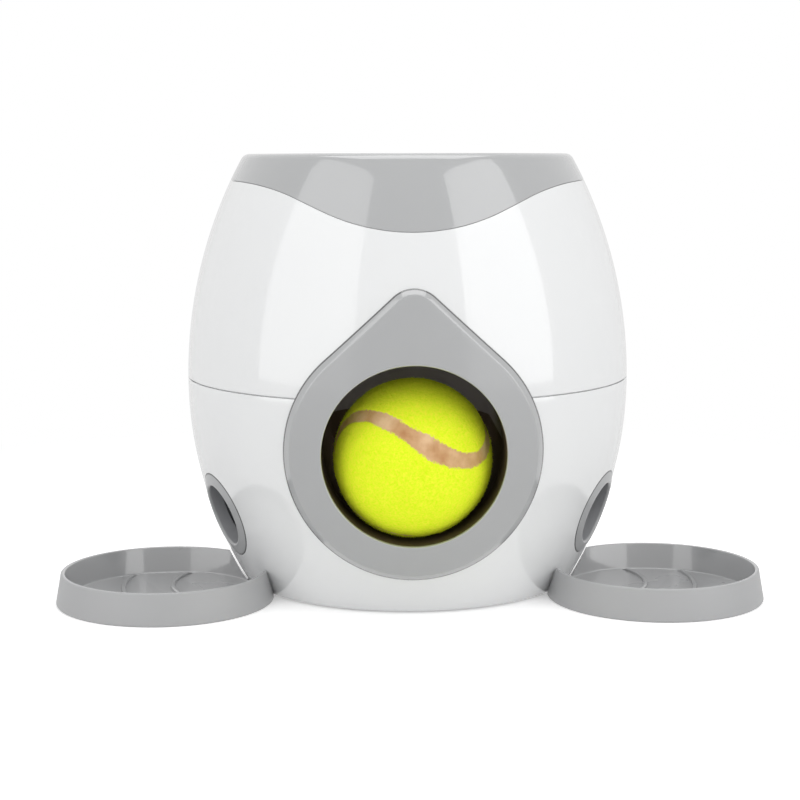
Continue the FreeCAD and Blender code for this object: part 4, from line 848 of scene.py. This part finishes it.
@dataclass
class Bezel:
    """Drop-shaped plate on the barrel's front, and the mouth's sleeve, painted dark as shade below its roof."""

    mouth_height: float = 66.5
    mouth_radius: float = 36.0
    radius: float = 51.0
    apex_round: float = 12.0
    slope: float = 42.6
    proud: float = 2.0
    seat_gap: float = 0.05
    bevel: tuple[tuple[float, float], ...] = ((2.6, 2.0), (2.3, 1.95), (2.0, 1.8), (1.3, 1.3), (0.6, 0.8),
                                              (0.45, 0.66), (0.15, 0.4), (0.0, 0.15))
    sleeve_radius: float = 38.5
    sleeve_end: float = 62.0
    roof_height: float = 85.0
    mouth_round: float = 0.9

    def outline(self, inset: float) -> np.ndarray:
        """Points of the drop: centre + (radius - inset) * (sin b, cos b), whose centre and radius slide.

        Args:
            inset: distance inside the plate's edge.

        Returns:
            Array of points and (x, z).
        """
        slope = math.radians(self.slope)
        apex = (self.radius - self.apex_round) / math.cos(slope)
        top = np.linspace(-slope, slope, 40)
        side = np.linspace(0, 1, 34)[1:-1]
        bottom = np.linspace(slope, TURN - slope, 200)
        bend = np.concatenate([top, np.full(32, slope), bottom, np.full(32, -slope)])
        lift = np.concatenate([np.full(40, apex), apex * (1 - side), np.zeros(200), apex * side])
        reach = np.concatenate([
            np.full(40, self.apex_round), self.apex_round + (self.radius - self.apex_round) * side,
            np.full(200, self.radius), self.radius - (self.radius - self.apex_round) * side]) - inset
        return np.stack([reach * np.sin(bend), lift + reach * np.cos(bend)], axis=1)

    def on_face(self, plan: np.ndarray, outset: float) -> np.ndarray:
        """Lift plan points (x, height above the mouth's centre) to the barrel's front face at an outset."""
        height = plan[..., 1] + self.mouth_height
        return np.stack([plan[..., 0], BARREL.face(plan[..., 0], height, outset), height], axis=-1)

    def plate(self) -> bpy.types.Object:
        """The plate: pairs of inset and outset give its bevel, whose outermost lines are marked for a painted shadow of
        the joint's gap.

        The faces of the bevel and of the mouth's rounded rim get the second material.
        """
        rim = self.outline(0.0)
        crown = self.outline(self.bevel[0][0])
        bore = crown / np.linalg.norm(crown, axis=1, keepdims=True) * self.mouth_radius
        bevel = [self.on_face(self.outline(inset), outset)[:, None] for inset, outset in self.bevel]
        front = [self.on_face(bore * (1 - share) + crown * share, self.proud)[:, None]
                 for share in np.linspace(0.1, 0.9, 9)]
        back = [self.on_face(rim * (1 - share) + bore * share, self.seat_gap)[:, None]
                for share in np.linspace(0, 1, 10)]
        outline = np.concatenate([self.on_face(bore, self.proud)[:, None], *front, *bevel, *back], axis=1)
        radii = np.zeros(outline.shape[1])
        radii[0] = self.mouth_round
        line = rounded(outline, radii, 5)
        plate = ring_piece("mouth_bezel_plate", line)
        count = line.shape[1]
        last = count - len(back)
        share = np.zeros(line.shape[:2])
        share[:, last - 3 : last + 1] = 1.0
        # Painted shadow of the gap between the plate and the shell.
        mark(plate, "joint", share)
        column = np.arange(len(plate.data.polygons)) % count
        second_finish(plate, (column < 5) | ((column >= last - len(bevel)) & (column < last)))
        return plate

    def sleeve(self) -> bpy.types.Object:
        """The sleeve: a plain ring from the barrel's face back to its inner end."""
        turn = circle(256)
        facing = np.stack([np.sin(turn), np.cos(turn)], axis=1)
        bore, outside = facing * self.mouth_radius, facing * self.sleeve_radius

        def at_depth(plan: np.ndarray) -> np.ndarray:
            """Plan points at the sleeve's inner end."""
            return np.stack([plan[:, 0], np.full(len(plan), -self.sleeve_end), plan[:, 1] + self.mouth_height], 1)

        outline = np.stack([at_depth(bore), self.on_face(bore, 0.0), self.on_face(outside, 0.0),
                            at_depth(outside)], axis=1)
        return ring_piece("mouth_sleeve_ring", outline)

    def build(self, dresser: Dresser) -> None:
        """Make the plate and the sleeve, and put them on the machine."""
        plate = self.plate()
        dresser.dress(plate, GREY_SATIN, GREY_ABS)
        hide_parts("mouth_bezel")
        sleeve = self.sleeve()
        # Faces over the roof's height are plain grey; those below are painted dark as shade of the tunnel.
        second_finish(sleeve, face_vectors(sleeve, "center")[:, 2] > self.roof_height * MM)
        dresser.dress(sleeve, TUNNEL_PAINTED_SHADE, ROOF_GREY)
        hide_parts("mouth_sleeve")
        for piece in (plate, sleeve):
            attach(piece, "machine")
        LOG.info("bezel: plate and sleeve")


@dataclass
class Outlet:
    """A side outlet: a slightly domed grey ring in the barrel, square to its face, with a flange behind the shell."""

    side: Side
    azimuth: float = 66.5
    height: float = 33.2
    radius: float = 18.4
    bore: float = 13.0
    dome: float = 0.9
    crown: float = 15.7
    flange: float = 20.5
    flange_front: float = 2.55
    flange_back: float = 4.55
    depth: float = 12.0
    socket: float = 14.9
    socket_depth: float = 6.0
    tongue_half: float = 11.6
    tongue_reach: float = 60.0
    tongue_top: float = 2.7

    def axis(self) -> np.ndarray:
        """Unit vector out of the barrel, square to its face: level part cos(tilt), fall sin(tilt)."""
        low, _ = BARREL.arcs()
        tilt = math.asin((BARREL.belly_height - self.height) / low)
        turn = math.radians(self.azimuth)
        level = math.cos(tilt)
        return np.array([self.side.value * level * math.sin(turn), -level * math.cos(turn), -math.sin(tilt)])

    def point(self, outward: float) -> np.ndarray:
        """A point on the outlet's axis, at a distance outside the barrel's face."""
        turn = math.radians(self.azimuth)
        reach = float(BARREL.radius(self.height))
        face = np.array([self.side.value * reach * math.sin(turn), -reach * math.cos(turn), self.height])
        return face + self.axis() * outward

    def notch(self) -> bpy.types.Object:
        """The block that cuts the shell's lower edge for the dish's tongue."""
        turn = math.radians(self.azimuth)
        along = Vector((self.side.value * math.sin(turn), -math.cos(turn), 0))
        across = Vector((-along.y, along.x, 0))
        corners = []
        for height in (-1.0, self.tongue_top):
            for out, aside in ((self.tongue_reach, -1), (95, -1), (95, 1), (self.tongue_reach, 1)):
                corners.append(along * out + across * (aside * self.tongue_half) + Vector((0, 0, height)))
        return mesh_piece(f"notch_{self.side.name}", np.array([tuple(c) for c in corners]), BOX_FACES)

    def build(self, dresser: Dresser) -> None:
        """Make the ring; each point lies at a radius about the axis and a depth under the barrel's face.

        The depth is found by stepping along the axis by the distance still left to the face.
        """
        out = self.axis()
        first = np.cross(out, [0, 0, 1])
        first /= np.linalg.norm(first)
        second = np.cross(out, first)
        turn = circle(192)
        around = np.cos(turn)[:, None] * first + np.sin(turn)[:, None] * second
        face = self.point(0)

        def surface(radius: float, inset: float) -> np.ndarray:
            """Points at a radius about the axis, on the barrel's face or a distance inside it."""
            spot = face + around * radius
            for _ in range(30):
                left = np.hypot(spot[:, 0], spot[:, 1]) - BARREL.radius(spot[:, 2], inset)
                spot = spot - out * left[:, None]
            return spot[:, None]

        def deep(radius: float, depth: float) -> np.ndarray:
            """Points at a radius about the axis and a depth behind the face's centre."""
            return (face + around * radius - out * depth)[:, None]

        outline = np.concatenate([
            deep(self.bore, self.socket_depth), surface(self.bore, -self.dome),
            surface(self.crown, -0.75 * self.dome), surface(self.radius - 0.75, -0.15 * self.dome),
            surface(self.radius, 0.0), surface(self.radius, self.flange_front), surface(self.flange, self.flange_front),
            surface(self.flange, self.flange_back), surface(self.radius, self.flange_back),
            deep(self.radius, self.depth), deep(self.socket, self.depth),
            deep(self.socket, self.socket_depth)], axis=1)
        line = rounded(outline, (0, 1.0, 0, 0, 0.35, 0, 0, 0, 0, 0.3, 0.3, 0), 5)
        ring = ring_piece(f"{self.side.name.lower()}_outlet_bezel", line)
        # Painted shadow of the gap between the ring's rounded edge and the shell.
        share = np.zeros(line.shape[:2])
        share[:, 9:16] = 1.0
        mark(ring, "joint", share)
        column = np.arange(len(ring.data.polygons)) % line.shape[1]
        # The bore's faces are painted a darker grey, as shade inside the hole.
        second_finish(ring, (column < 1) | (column > 20))
        dresser.dress(ring, GREY_SATIN, BORE_PAINTED_SHADE)
        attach(ring, "machine")
        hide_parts(f"{self.side.name.lower()}_outlet_ring")
        LOG.info("outlet: %s ring", self.side.name.lower())


@dataclass
class Dish:
    """Shallow treat dish, cut away along the barrel's flare, with two raised arcs on its floor and a tongue."""

    side: Side
    azimuth: float = 66.5
    reach: float = 110.4
    base_radius: float = 44.7
    rim_radius: float = 42.4
    height: float = 12.9
    floor: float = 2.0
    inner_rim: float = 40.8
    inner_floor: float = 39.2
    gap: float = 0.8
    rib_centre: float = 44.3
    rib_half: float = 1.0
    rib_radii: tuple[float, ...] = (39.3, 59.8)
    rib_end: float = 4.0
    tongue_half: float = 11.0
    tongue_start: float = 60.0

    def bowl(self) -> bpy.types.Object:
        """Body of revolution about the dish's own axis, with rounded rim, foot and inner corner."""
        corners = np.array([[[0, 0], [self.base_radius, 0], [self.rim_radius, self.height],
                             [self.inner_rim, self.height], [self.inner_floor, self.floor], [0, self.floor]]], float)
        profile = rounded(corners, (0, 0.7, 0.7, 0.5, 0.8, 0), 6, closed=False)[0]
        return turned_piece(f"{self.side.name.lower()}_dish_bowl", profile, 240)

    def rib(self, radius: float) -> bpy.types.Object:
        """A raised arc on the floor, about a point near the barrel's axis, that sinks to the floor before the wall.

        The half angle of the arc is where it ends: cos = (radius^2 + centre^2 - wall^2) / (2 radius centre). The
        rib's height is the root of the distance to its nearer end over the end's length, up to 1.
        """
        wall = self.inner_floor - 0.6
        half = math.acos((radius**2 + self.rib_centre**2 - wall**2) / (2 * radius * self.rib_centre))
        turn = np.linspace(-half, half, 60)
        facing = np.stack([np.cos(turn), np.sin(turn)], axis=1)
        section = np.array([[-1.0, -0.5], [1.0, -0.5], [1.0, 0.45], [0.8, 0.85], [0.4, 1.0], [-0.4, 1.0],
                            [-0.8, 0.85], [-1.0, 0.45]]) * self.rib_half
        level = facing[:, None] * (radius + section[:, 0])[None, :, None] - np.array([self.rib_centre, 0])
        rise = np.sqrt(np.clip((half - np.abs(turn)) * radius / self.rib_end, 0.02, 1))
        lift = self.floor + section[:, 1] * rise[:, None]
        grid = np.concatenate([level, lift[..., None]], axis=-1)
        ends = np.array([[*(facing[k] * radius - np.array([self.rib_centre, 0])), self.floor] for k in (0, -1)])
        points = np.concatenate([grid.reshape(-1, 3), ends])
        return mesh_piece("rib", points, grid_faces(len(turn), len(section), Ends.POLES))

    def tongue(self) -> bpy.types.Object:
        """The flat tongue under the base plate, in the dish's own frame along +X."""
        low, high = self.tongue_start - self.reach, float(BARREL.radius(1.0)) + self.gap + 4.4 - self.reach
        half = self.tongue_half
        corners = np.array([[x, y, z] for z in (0.4, 2.0)
                            for x, y in ((low, -half), (high, -half), (high, half), (low, half))], float)
        return mesh_piece("tongue", corners, BOX_FACES)

    def build(self, dresser: Dresser) -> None:
        """Make the dish in its own frame, cut it to the barrel, and put it on its body."""
        dish = self.bowl()
        levels = np.linspace(-4, 24, 15)
        bite_line = np.stack([BARREL.radius(np.maximum(levels, -4), -self.gap), levels], axis=1)
        bite_line = np.concatenate([[[0, -4]], bite_line, [[0, 24]]])
        bite = move_mesh(turned_piece("bite", bite_line, 240), Matrix.Translation((-self.reach * MM, 0, 0)))
        dish = cut_piece(dish, [bite])
        dish = cut_piece(dish, [self.tongue(), *(self.rib(radius) for radius in self.rib_radii)], join=True)
        spots, facing = face_vectors(dish, "center")[:, :2] / MM, face_vectors(dish, "normal")[:, :2]
        second_finish(dish, ((spots * facing).sum(1) > 0) & (np.hypot(*spots.T) > self.inner_rim))
        turn = math.radians(self.azimuth)
        yaw = -math.pi / 2 + self.side.value * turn
        place = Matrix.Rotation(yaw, 4, "Z") @ Matrix.Translation((self.reach * MM, 0, 0))
        move_mesh(dish, place)
        dresser.dress(dish, GREY_DISH, DISH_SATIN)
        side = self.side.name.lower()
        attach(dish, f"{side}_dish")
        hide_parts(f"{side}_treat_dish")
        LOG.info("dish: %s", side)


@dataclass
class Ball:
    """Felt-covered ball: a napped surface with a sunk seam and short fibres that stand off it."""

    radius: float = 31.75
    reach: float = 66.0
    height: float = 62.55
    seam_half: float = 2.8
    seam_widest: tuple[float, float, float] = (0.22, -0.96, 0.17)
    seam_widening: float = 0.55
    seam_overgrown: tuple[float, float, float] = (-0.35, -0.3, -0.88)
    seam_narrowing: float = 2.2
    seam_sink: float = 0.55
    seam_share: float = 0.8022
    seam_turn: tuple[float, float, float] = (-1.2919, 0.865, 2.7888)
    fibres: int = 16000
    fibre_length: float = 1.1
    seed: int = 5

    def seam_line(self) -> np.ndarray:
        """The seam as unit vectors: (a cos t + b cos 3t, a sin t - b sin 3t, 2 root(ab) sin 2t), turned in place.

        Returns:
            Array of points and coordinates.
        """
        t = np.linspace(0, TURN, 1440, endpoint=False)
        a, b = self.seam_share, 1 - self.seam_share
        line = np.stack([a * np.cos(t) + b * np.cos(3 * t), a * np.sin(t) - b * np.sin(3 * t),
                         2 * math.sqrt(a * b) * np.sin(2 * t)], axis=1)
        line /= np.linalg.norm(line, axis=1, keepdims=True)
        axis = Vector(self.seam_turn)
        turn = np.array(Matrix.Rotation(axis.length, 3, axis.normalized()))
        return line @ turn.T

    def seam_distance(self, facing: np.ndarray) -> np.ndarray:
        """Distance in millimetres along the surface to the seam's line: radius * arccos(dot).

        It is divided by 1 + widening * exp((dot with the widest place - 1) / 0.07), so that the seam is wider there,
        and multiplied by 1 + narrowing * exp((dot with the overgrown place - 1) / 0.15), where the nap covers it.
        """
        line = self.seam_line()
        nearest = np.full(len(facing), -1.0)
        for start in range(0, len(line), 120):
            nearest = np.maximum(nearest, (facing @ line[start : start + 120].T).max(1))
        widest = np.array(self.seam_widest) / np.linalg.norm(self.seam_widest)
        wide = 1 + self.seam_widening * np.exp((facing @ widest - 1) / 0.07)
        overgrown = np.array(self.seam_overgrown) / np.linalg.norm(self.seam_overgrown)
        narrow = 1 + self.seam_narrowing * np.exp((facing @ overgrown - 1) / 0.15)
        return self.radius * np.arccos(np.clip(nearest, -1, 1)) * narrow / wide

    def nap(self, facing: np.ndarray) -> np.ndarray:
        """Low waves of the felt's thickness: a sum of seeded sines of random direction, in millimetres."""
        source = np.random.default_rng(self.seed)
        rise = np.zeros(len(facing))
        for _ in range(28):
            wave = source.normal(size=3)
            wave *= source.uniform(9, 42) / np.linalg.norm(wave)
            rise += np.sin(facing @ wave + source.uniform(0, TURN))
        return rise * 0.012

    def cover(self) -> bpy.types.Object:
        """The felt: a fine sphere, sunk along the seam; its attribute is 1 at the seam's middle, 0.5 at its edge."""
        rows, columns = 220, 400
        rise = (np.arange(1, rows + 1) / (rows + 1)) * math.pi
        turn = circle(columns)
        down, around = np.meshgrid(rise, turn, indexing="ij")
        facing = np.stack([np.sin(down) * np.cos(around), np.sin(down) * np.sin(around), np.cos(down)], -1)
        facing = np.concatenate([facing.reshape(-1, 3), [[0, 0, 1], [0, 0, -1]]])
        distance = self.seam_distance(facing)
        share = 1 / (1 + np.exp((distance - self.seam_half) / 0.28))
        radius = self.radius - self.seam_sink * share + self.nap(facing) * (1 - share) - 0.15
        points = facing * radius[:, None] + self.centre()
        piece = mesh_piece("ball_felt", points, grid_faces(rows, columns, Ends.POLES), 180)
        mark(piece, "seam", np.clip(1 - distance / (2 * self.seam_half), 0, 1))
        return piece

    def centre(self) -> np.ndarray:
        """Centre of the ball, in millimetres."""
        return np.array([0, -self.reach, self.height])

    def fuzz(self) -> bpy.types.Object:
        """Short curved fibres on the felt: a narrow three-sided spike each, bent over at random.

        Each spike has a triangle at its root, a smaller one halfway and a tip.
        """
        source = np.random.default_rng(self.seed + 1)
        facing = source.normal(size=(self.fibres, 3))
        facing /= np.linalg.norm(facing, axis=1, keepdims=True)
        facing = facing[self.seam_distance(facing) > self.seam_half + 0.2]
        count = len(facing)
        aside = np.cross(facing, source.normal(size=(count, 3)))
        aside /= np.linalg.norm(aside, axis=1, keepdims=True)
        other = np.cross(facing, aside)
        lean = source.normal(size=(count, 2)) * 0.55
        tilt = aside * lean[:, :1] + other * lean[:, 1:]
        length = (self.fibre_length * source.uniform(0.35, 1.0, count))[:, None]
        root = facing * (self.radius - 0.35)
        middle = root + (facing + tilt * 0.35) * length * 0.55
        tip = root + (facing * 0.8 + tilt) * length
        spread = np.array([0, TURN / 3, 2 * TURN / 3])
        ring = aside[:, None] * np.cos(spread)[None, :, None] + other[:, None] * np.sin(spread)[None, :, None]
        points = np.concatenate([root[:, None] + ring * 0.055, middle[:, None] + ring * 0.04, tip[:, None]], axis=1)
        pattern = np.array([[0, 1, 4], [0, 4, 3], [1, 2, 5], [1, 5, 4], [2, 0, 3], [2, 3, 5],
                            [3, 4, 6], [4, 5, 6], [5, 3, 6], [2, 1, 0]])
        faces = (np.arange(count)[:, None, None] * 7 + pattern[None]).reshape(-1, 3)
        return mesh_piece("ball_fuzz", points.reshape(-1, 3) + self.centre(), [tuple(f) for f in faces.tolist()])

    def build(self, dresser: Dresser) -> None:
        """Make the cover and its fibres and put them on the ball's body."""
        cover = self.cover()
        fuzz = self.fuzz()
        for piece in (cover, fuzz):
            dresser.dress(piece, FELT)
            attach(piece, "ball")
        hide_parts("ball_felt_cover")
        LOG.info("ball: felt cover and fibres")


@dataclass
class Works:
    """The inner works and small parts, whose CAD nodes keep their shape."""

    finishes: dict[str, MouldedPlastic | Metal] = field(default_factory=lambda: {
        "bezel_screws": ZINC_STEEL, "base_plate": TEXTURED_ABS, "rubber_feet": FOOT_RUBBER,
        "base_screws": ZINC_STEEL, "shell_screws": ZINC_STEEL, "lower_ball_ramp": TUNNEL_PAINTED_SHADE,
        "upper_ball_guide": GUIDE_WHITE, "ramp_screws": ZINC_STEEL, "guide_screws": ZINC_STEEL,
        "left_treat_hopper": NATURAL_PP, "right_treat_hopper": NATURAL_PP, "hopper_screws": ZINC_STEEL,
        "left_treat_rotor": GREY_ACETAL, "right_treat_rotor": GREY_ACETAL, "paddle_wheel": GREY_ACETAL,
        "wheel_shaft": ZINC_STEEL, "detent_wheel": GREY_ACETAL, "shaft_clips": SPRING_STEEL,
        "left_shaft_bush": SINTERED_BRONZE, "right_shaft_bush": SINTERED_BRONZE,
        "detent_pawl": GREY_ACETAL, "pawl_pin": ZINC_STEEL, "pawl_spring": SPRING_STEEL,
        "left_treat_chute": CHUTE_GREY, "right_treat_chute": CHUTE_GREY,
        "ball_rubber_core": BALL_RUBBER,
    })
    smoothed: tuple[str, ...] = ("lower_ball_ramp", "upper_ball_guide", "paddle_wheel", "left_treat_chute",
                                 "right_treat_chute", "left_treat_hopper", "right_treat_hopper", "base_plate",
                                 "left_treat_rotor", "right_treat_rotor", "rubber_feet")
    # Height under which the ramp is painted dark as shade.
    ramp_tone_height: float = 69.0
    crease: float = 28.0

    def split_tone(self, piece: bpy.types.Object, height: float) -> None:
        """Split a piece's faces along a height in millimetres, and give those above it the second material."""
        work = bmesh.new()
        work.from_mesh(piece.data)
        bmesh.ops.bisect_plane(work, geom=[*work.verts, *work.edges, *work.faces], dist=0.001 * MM,
                               plane_co=(0, 0, height * MM), plane_no=(0, 0, 1))
        work.to_mesh(piece.data)
        work.free()
        second_finish(piece, face_vectors(piece, "center")[:, 2] > height * MM)

    def smooth_copy(self, node: bpy.types.Object) -> bpy.types.Object:
        """A merged, smooth-shaded copy of a CAD node's mesh, to stand for the node."""
        piece = add_object(f"{node.name}_smooth", node.data.copy())
        weld = piece.modifiers.new("weld", "WELD")
        weld.merge_threshold = 0.002 * MM
        apply_changes(piece, self.crease)
        return piece

    def build(self, dresser: Dresser, nodes: dict[str, bpy.types.Object], bodies: dict[str, list[str]],
              slots: dict[str, str]) -> None:
        """Dress the CAD nodes, with a smooth copy for those that show their round faces.

        Args:
            dresser: gives the finishes.
            nodes: the CAD nodes by name.
            bodies: node names of each body.
            slots: material slot of each node; not used.
        """
        for name, finish in self.finishes.items():
            if name not in self.smoothed:
                dresser.dress(nodes[name], finish)
                continue
            copy = self.smooth_copy(nodes[name])
            # The ramp is painted dark as shade below its tone height and plain grey above it.
            if name == "lower_ball_ramp":
                self.split_tone(copy, self.ramp_tone_height)
                dresser.dress(copy, finish, ROOF_GREY)
            else:
                dresser.dress(copy, finish)
            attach(copy, next(body for body, members in bodies.items() if name in members))
            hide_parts(name)
        LOG.info("works: %d nodes dressed", len(self.finishes))


@dataclass(frozen=True)
class Softbox:
    """An upright area lamp, or one overhead, with its lengths in metres.

    The azimuth is in degrees from the front, positive to the right, and the distance is from the barrel's axis. The
    level is the brightness of its face, where 1 is a white surface in full light.
    """

    name: str
    azimuth: float
    distance: float
    size: tuple[float, float]
    height: float
    level: float

    def build(self) -> None:
        """Make the lamp; its power is pi * area * level, and it faces the barrel, or down where it is overhead."""
        data = bpy.data.lights.new(self.name, "AREA")
        data.shape = "RECTANGLE"
        data.size, data.size_y = self.size
        data.energy = math.pi * self.size[0] * self.size[1] * self.level
        lamp = add_object(self.name, data)
        turn = math.radians(self.azimuth)
        place = Vector((math.sin(turn) * self.distance, -math.cos(turn) * self.distance, self.height))
        away = Vector((place.x, place.y, 0)) if self.distance > self.size[0] / 2 else Vector((0, 0, 1))
        lamp.matrix_world = Matrix.Translation(place) @ away.to_track_quat("Z", "Y").to_matrix().to_4x4()


@dataclass
class Studio:
    """White floor and surroundings, two tall softboxes in front, a top light, and the camera."""

    camera_place: tuple[float, float, float] = (-23.0, -765.0, 184.0)
    yaw: float = 1.48
    pitch: float = 8.01
    roll: float = 0.126
    lens: float = 80.33
    floor_radius: float = 6.0
    shadow_near: float = 0.2
    shadow_far: float = 0.42
    world_level: float = 0.55
    shine_level: float = 0.8
    floor_glow: float = 0.32
    softboxes: tuple[Softbox, ...] = (Softbox("left_softbox", -54, 1.35, (1.32, 1.9), 0.95, 0.85),
                                      Softbox("right_softbox", 51.5, 1.35, (1.17, 1.9), 0.95, 1.19),
                                      Softbox("top_softbox", 180, 0.1, (1.4, 1.4), 1.7, 1.5))

    def camera(self) -> None:
        """Place the camera: its axes are built from yaw, pitch and roll."""
        data = bpy.data.cameras.new("camera")
        data.lens = self.lens
        data.sensor_width = 36.0
        data.clip_end = 50.0
        camera = add_object("camera", data)
        yaw, pitch, roll = (math.radians(a) for a in (self.yaw, self.pitch, self.roll))
        ahead = Vector((math.sin(yaw) * math.cos(pitch), math.cos(yaw) * math.cos(pitch), -math.sin(pitch)))
        level = Vector((math.cos(yaw), -math.sin(yaw), 0))
        upright = level.cross(ahead)
        right = level * math.cos(roll) - upright * math.sin(roll)
        up = level * math.sin(roll) + upright * math.cos(roll)
        turn = Matrix((right, up, -ahead)).transposed().to_4x4()
        camera.matrix_world = Matrix.Translation(Vector(self.camera_place) * MM) @ turn
        bpy.context.scene.camera = camera

    def world(self) -> None:
        """Plain light from all round, and white for what the camera, gloss and glass see of it."""
        world = bpy.data.worlds.new("surroundings")
        bpy.context.scene.world = world
        tree = empty_tree(world)
        ray = add_node(tree, "LightPath")
        seen = add_node(tree, "Math", {"operation": "ADD"}, {"0": ray.outputs["Is Camera Ray"],
                                                             "1": ray.outputs["Is Transmission Ray"]})
        level = add_node(tree, "MapRange", {"To Min": self.world_level, "To Max": 1.0},
                         {"Value": seen.outputs["Value"]})
        shine = add_node(tree, "MapRange", {"To Min": 0.0, "To Max": self.shine_level - self.world_level},
                         {"Value": ray.outputs["Is Glossy Ray"]})
        total = add_node(tree, "Math", {"operation": "ADD"}, {"0": level.outputs["Result"],
                                                              "1": shine.outputs["Result"]})
        glow = add_node(tree, "Background", {"Color": (1, 1, 1, 1)}, {"Strength": total.outputs["Value"]})
        add_node(tree, "OutputWorld", None, {"Surface": glow.outputs["Background"]})

    def floor(self) -> None:
        """A wide white disc that keeps the object's shadow and fades to pure white for the camera."""
        count = 96
        turn = circle(count)
        rim = np.stack([np.cos(turn), np.sin(turn), np.zeros(count)], axis=1) * self.floor_radius
        mesh = bpy.data.meshes.new("floor")
        mesh.from_pydata(rim.tolist(), [], [tuple(range(count))])
        floor = add_object("floor", mesh)
        material = bpy.data.materials.new("white painted floor")
        tree = empty_tree(material)
        path = add_node(tree, "LightPath")
        ray = path.outputs["Is Camera Ray"]
        place = add_node(tree, "TexCoord").outputs["Object"]
        reach = add_node(tree, "VectorMath", {"operation": "LENGTH"}, {"0": place}).outputs["Value"]
        away = add_node(tree, "MapRange", {"From Min": self.shadow_near, "From Max": self.shadow_far,
                                           "interpolation_type": "SMOOTHSTEP"}, {"Value": reach})
        paint = add_node(tree, "BsdfDiffuse", {"Color": linear("f8f8f8")})
        faint = add_node(tree, "Emission", {"Color": (1, 1, 1, 1), "Strength": self.floor_glow})
        near = add_node(tree, "AddShader", None, {"0": paint.outputs["BSDF"], "1": faint.outputs["Emission"]})
        white = add_node(tree, "Emission", {"Color": (1, 1, 1, 1), "Strength": 1.0})
        seen = add_node(tree, "MixShader", None, {"0": away.outputs["Result"], "1": near.outputs["Shader"],
                                                  "2": white.outputs["Emission"]})
        both = add_node(tree, "MixShader", None, {"0": ray, "1": paint.outputs["BSDF"], "2": seen.outputs["Shader"]})
        plain = add_node(tree, "Emission", {"Color": (1, 1, 1, 1), "Strength": self.shine_level})
        shown = add_node(tree, "MixShader", None, {"0": path.outputs["Is Glossy Ray"], "1": both.outputs["Shader"],
                                                   "2": plain.outputs["Emission"]})
        add_node(tree, "OutputMaterial", None, {"Surface": shown.outputs["Shader"]})
        floor.data.materials.append(material)

    def build(self) -> None:
        """Set up the camera, floor, world and lamps."""
        bpy.context.scene.view_settings.view_transform = "Standard"
        self.camera()
        self.world()
        self.floor()
        for softbox in self.softboxes:
            softbox.build()
        LOG.info("studio: camera, floor and lamps")


def main() -> None:
    """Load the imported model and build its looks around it."""
    logging.basicConfig(level=logging.INFO, format="%(name)s: %(message)s")
    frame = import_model()
    record = frame["record"]
    dresser = Dresser()
    outlets = [Outlet(side) for side in Side]
    Studio().build()
    Casing().build(dresser, outlets)
    Cap().build(dresser)
    Bezel().build(dresser)
    for outlet in outlets:
        outlet.build(dresser)
    for side in Side:
        Dish(side).build(dresser)
    Ball().build(dresser)
    slots = {row["node"]: row["material_slot"] for row in record["subparts"]}
    Works().build(dresser, frame["nodes"], record["behaviour"]["bodies"], slots)


if __name__ == "__main__":
    main()
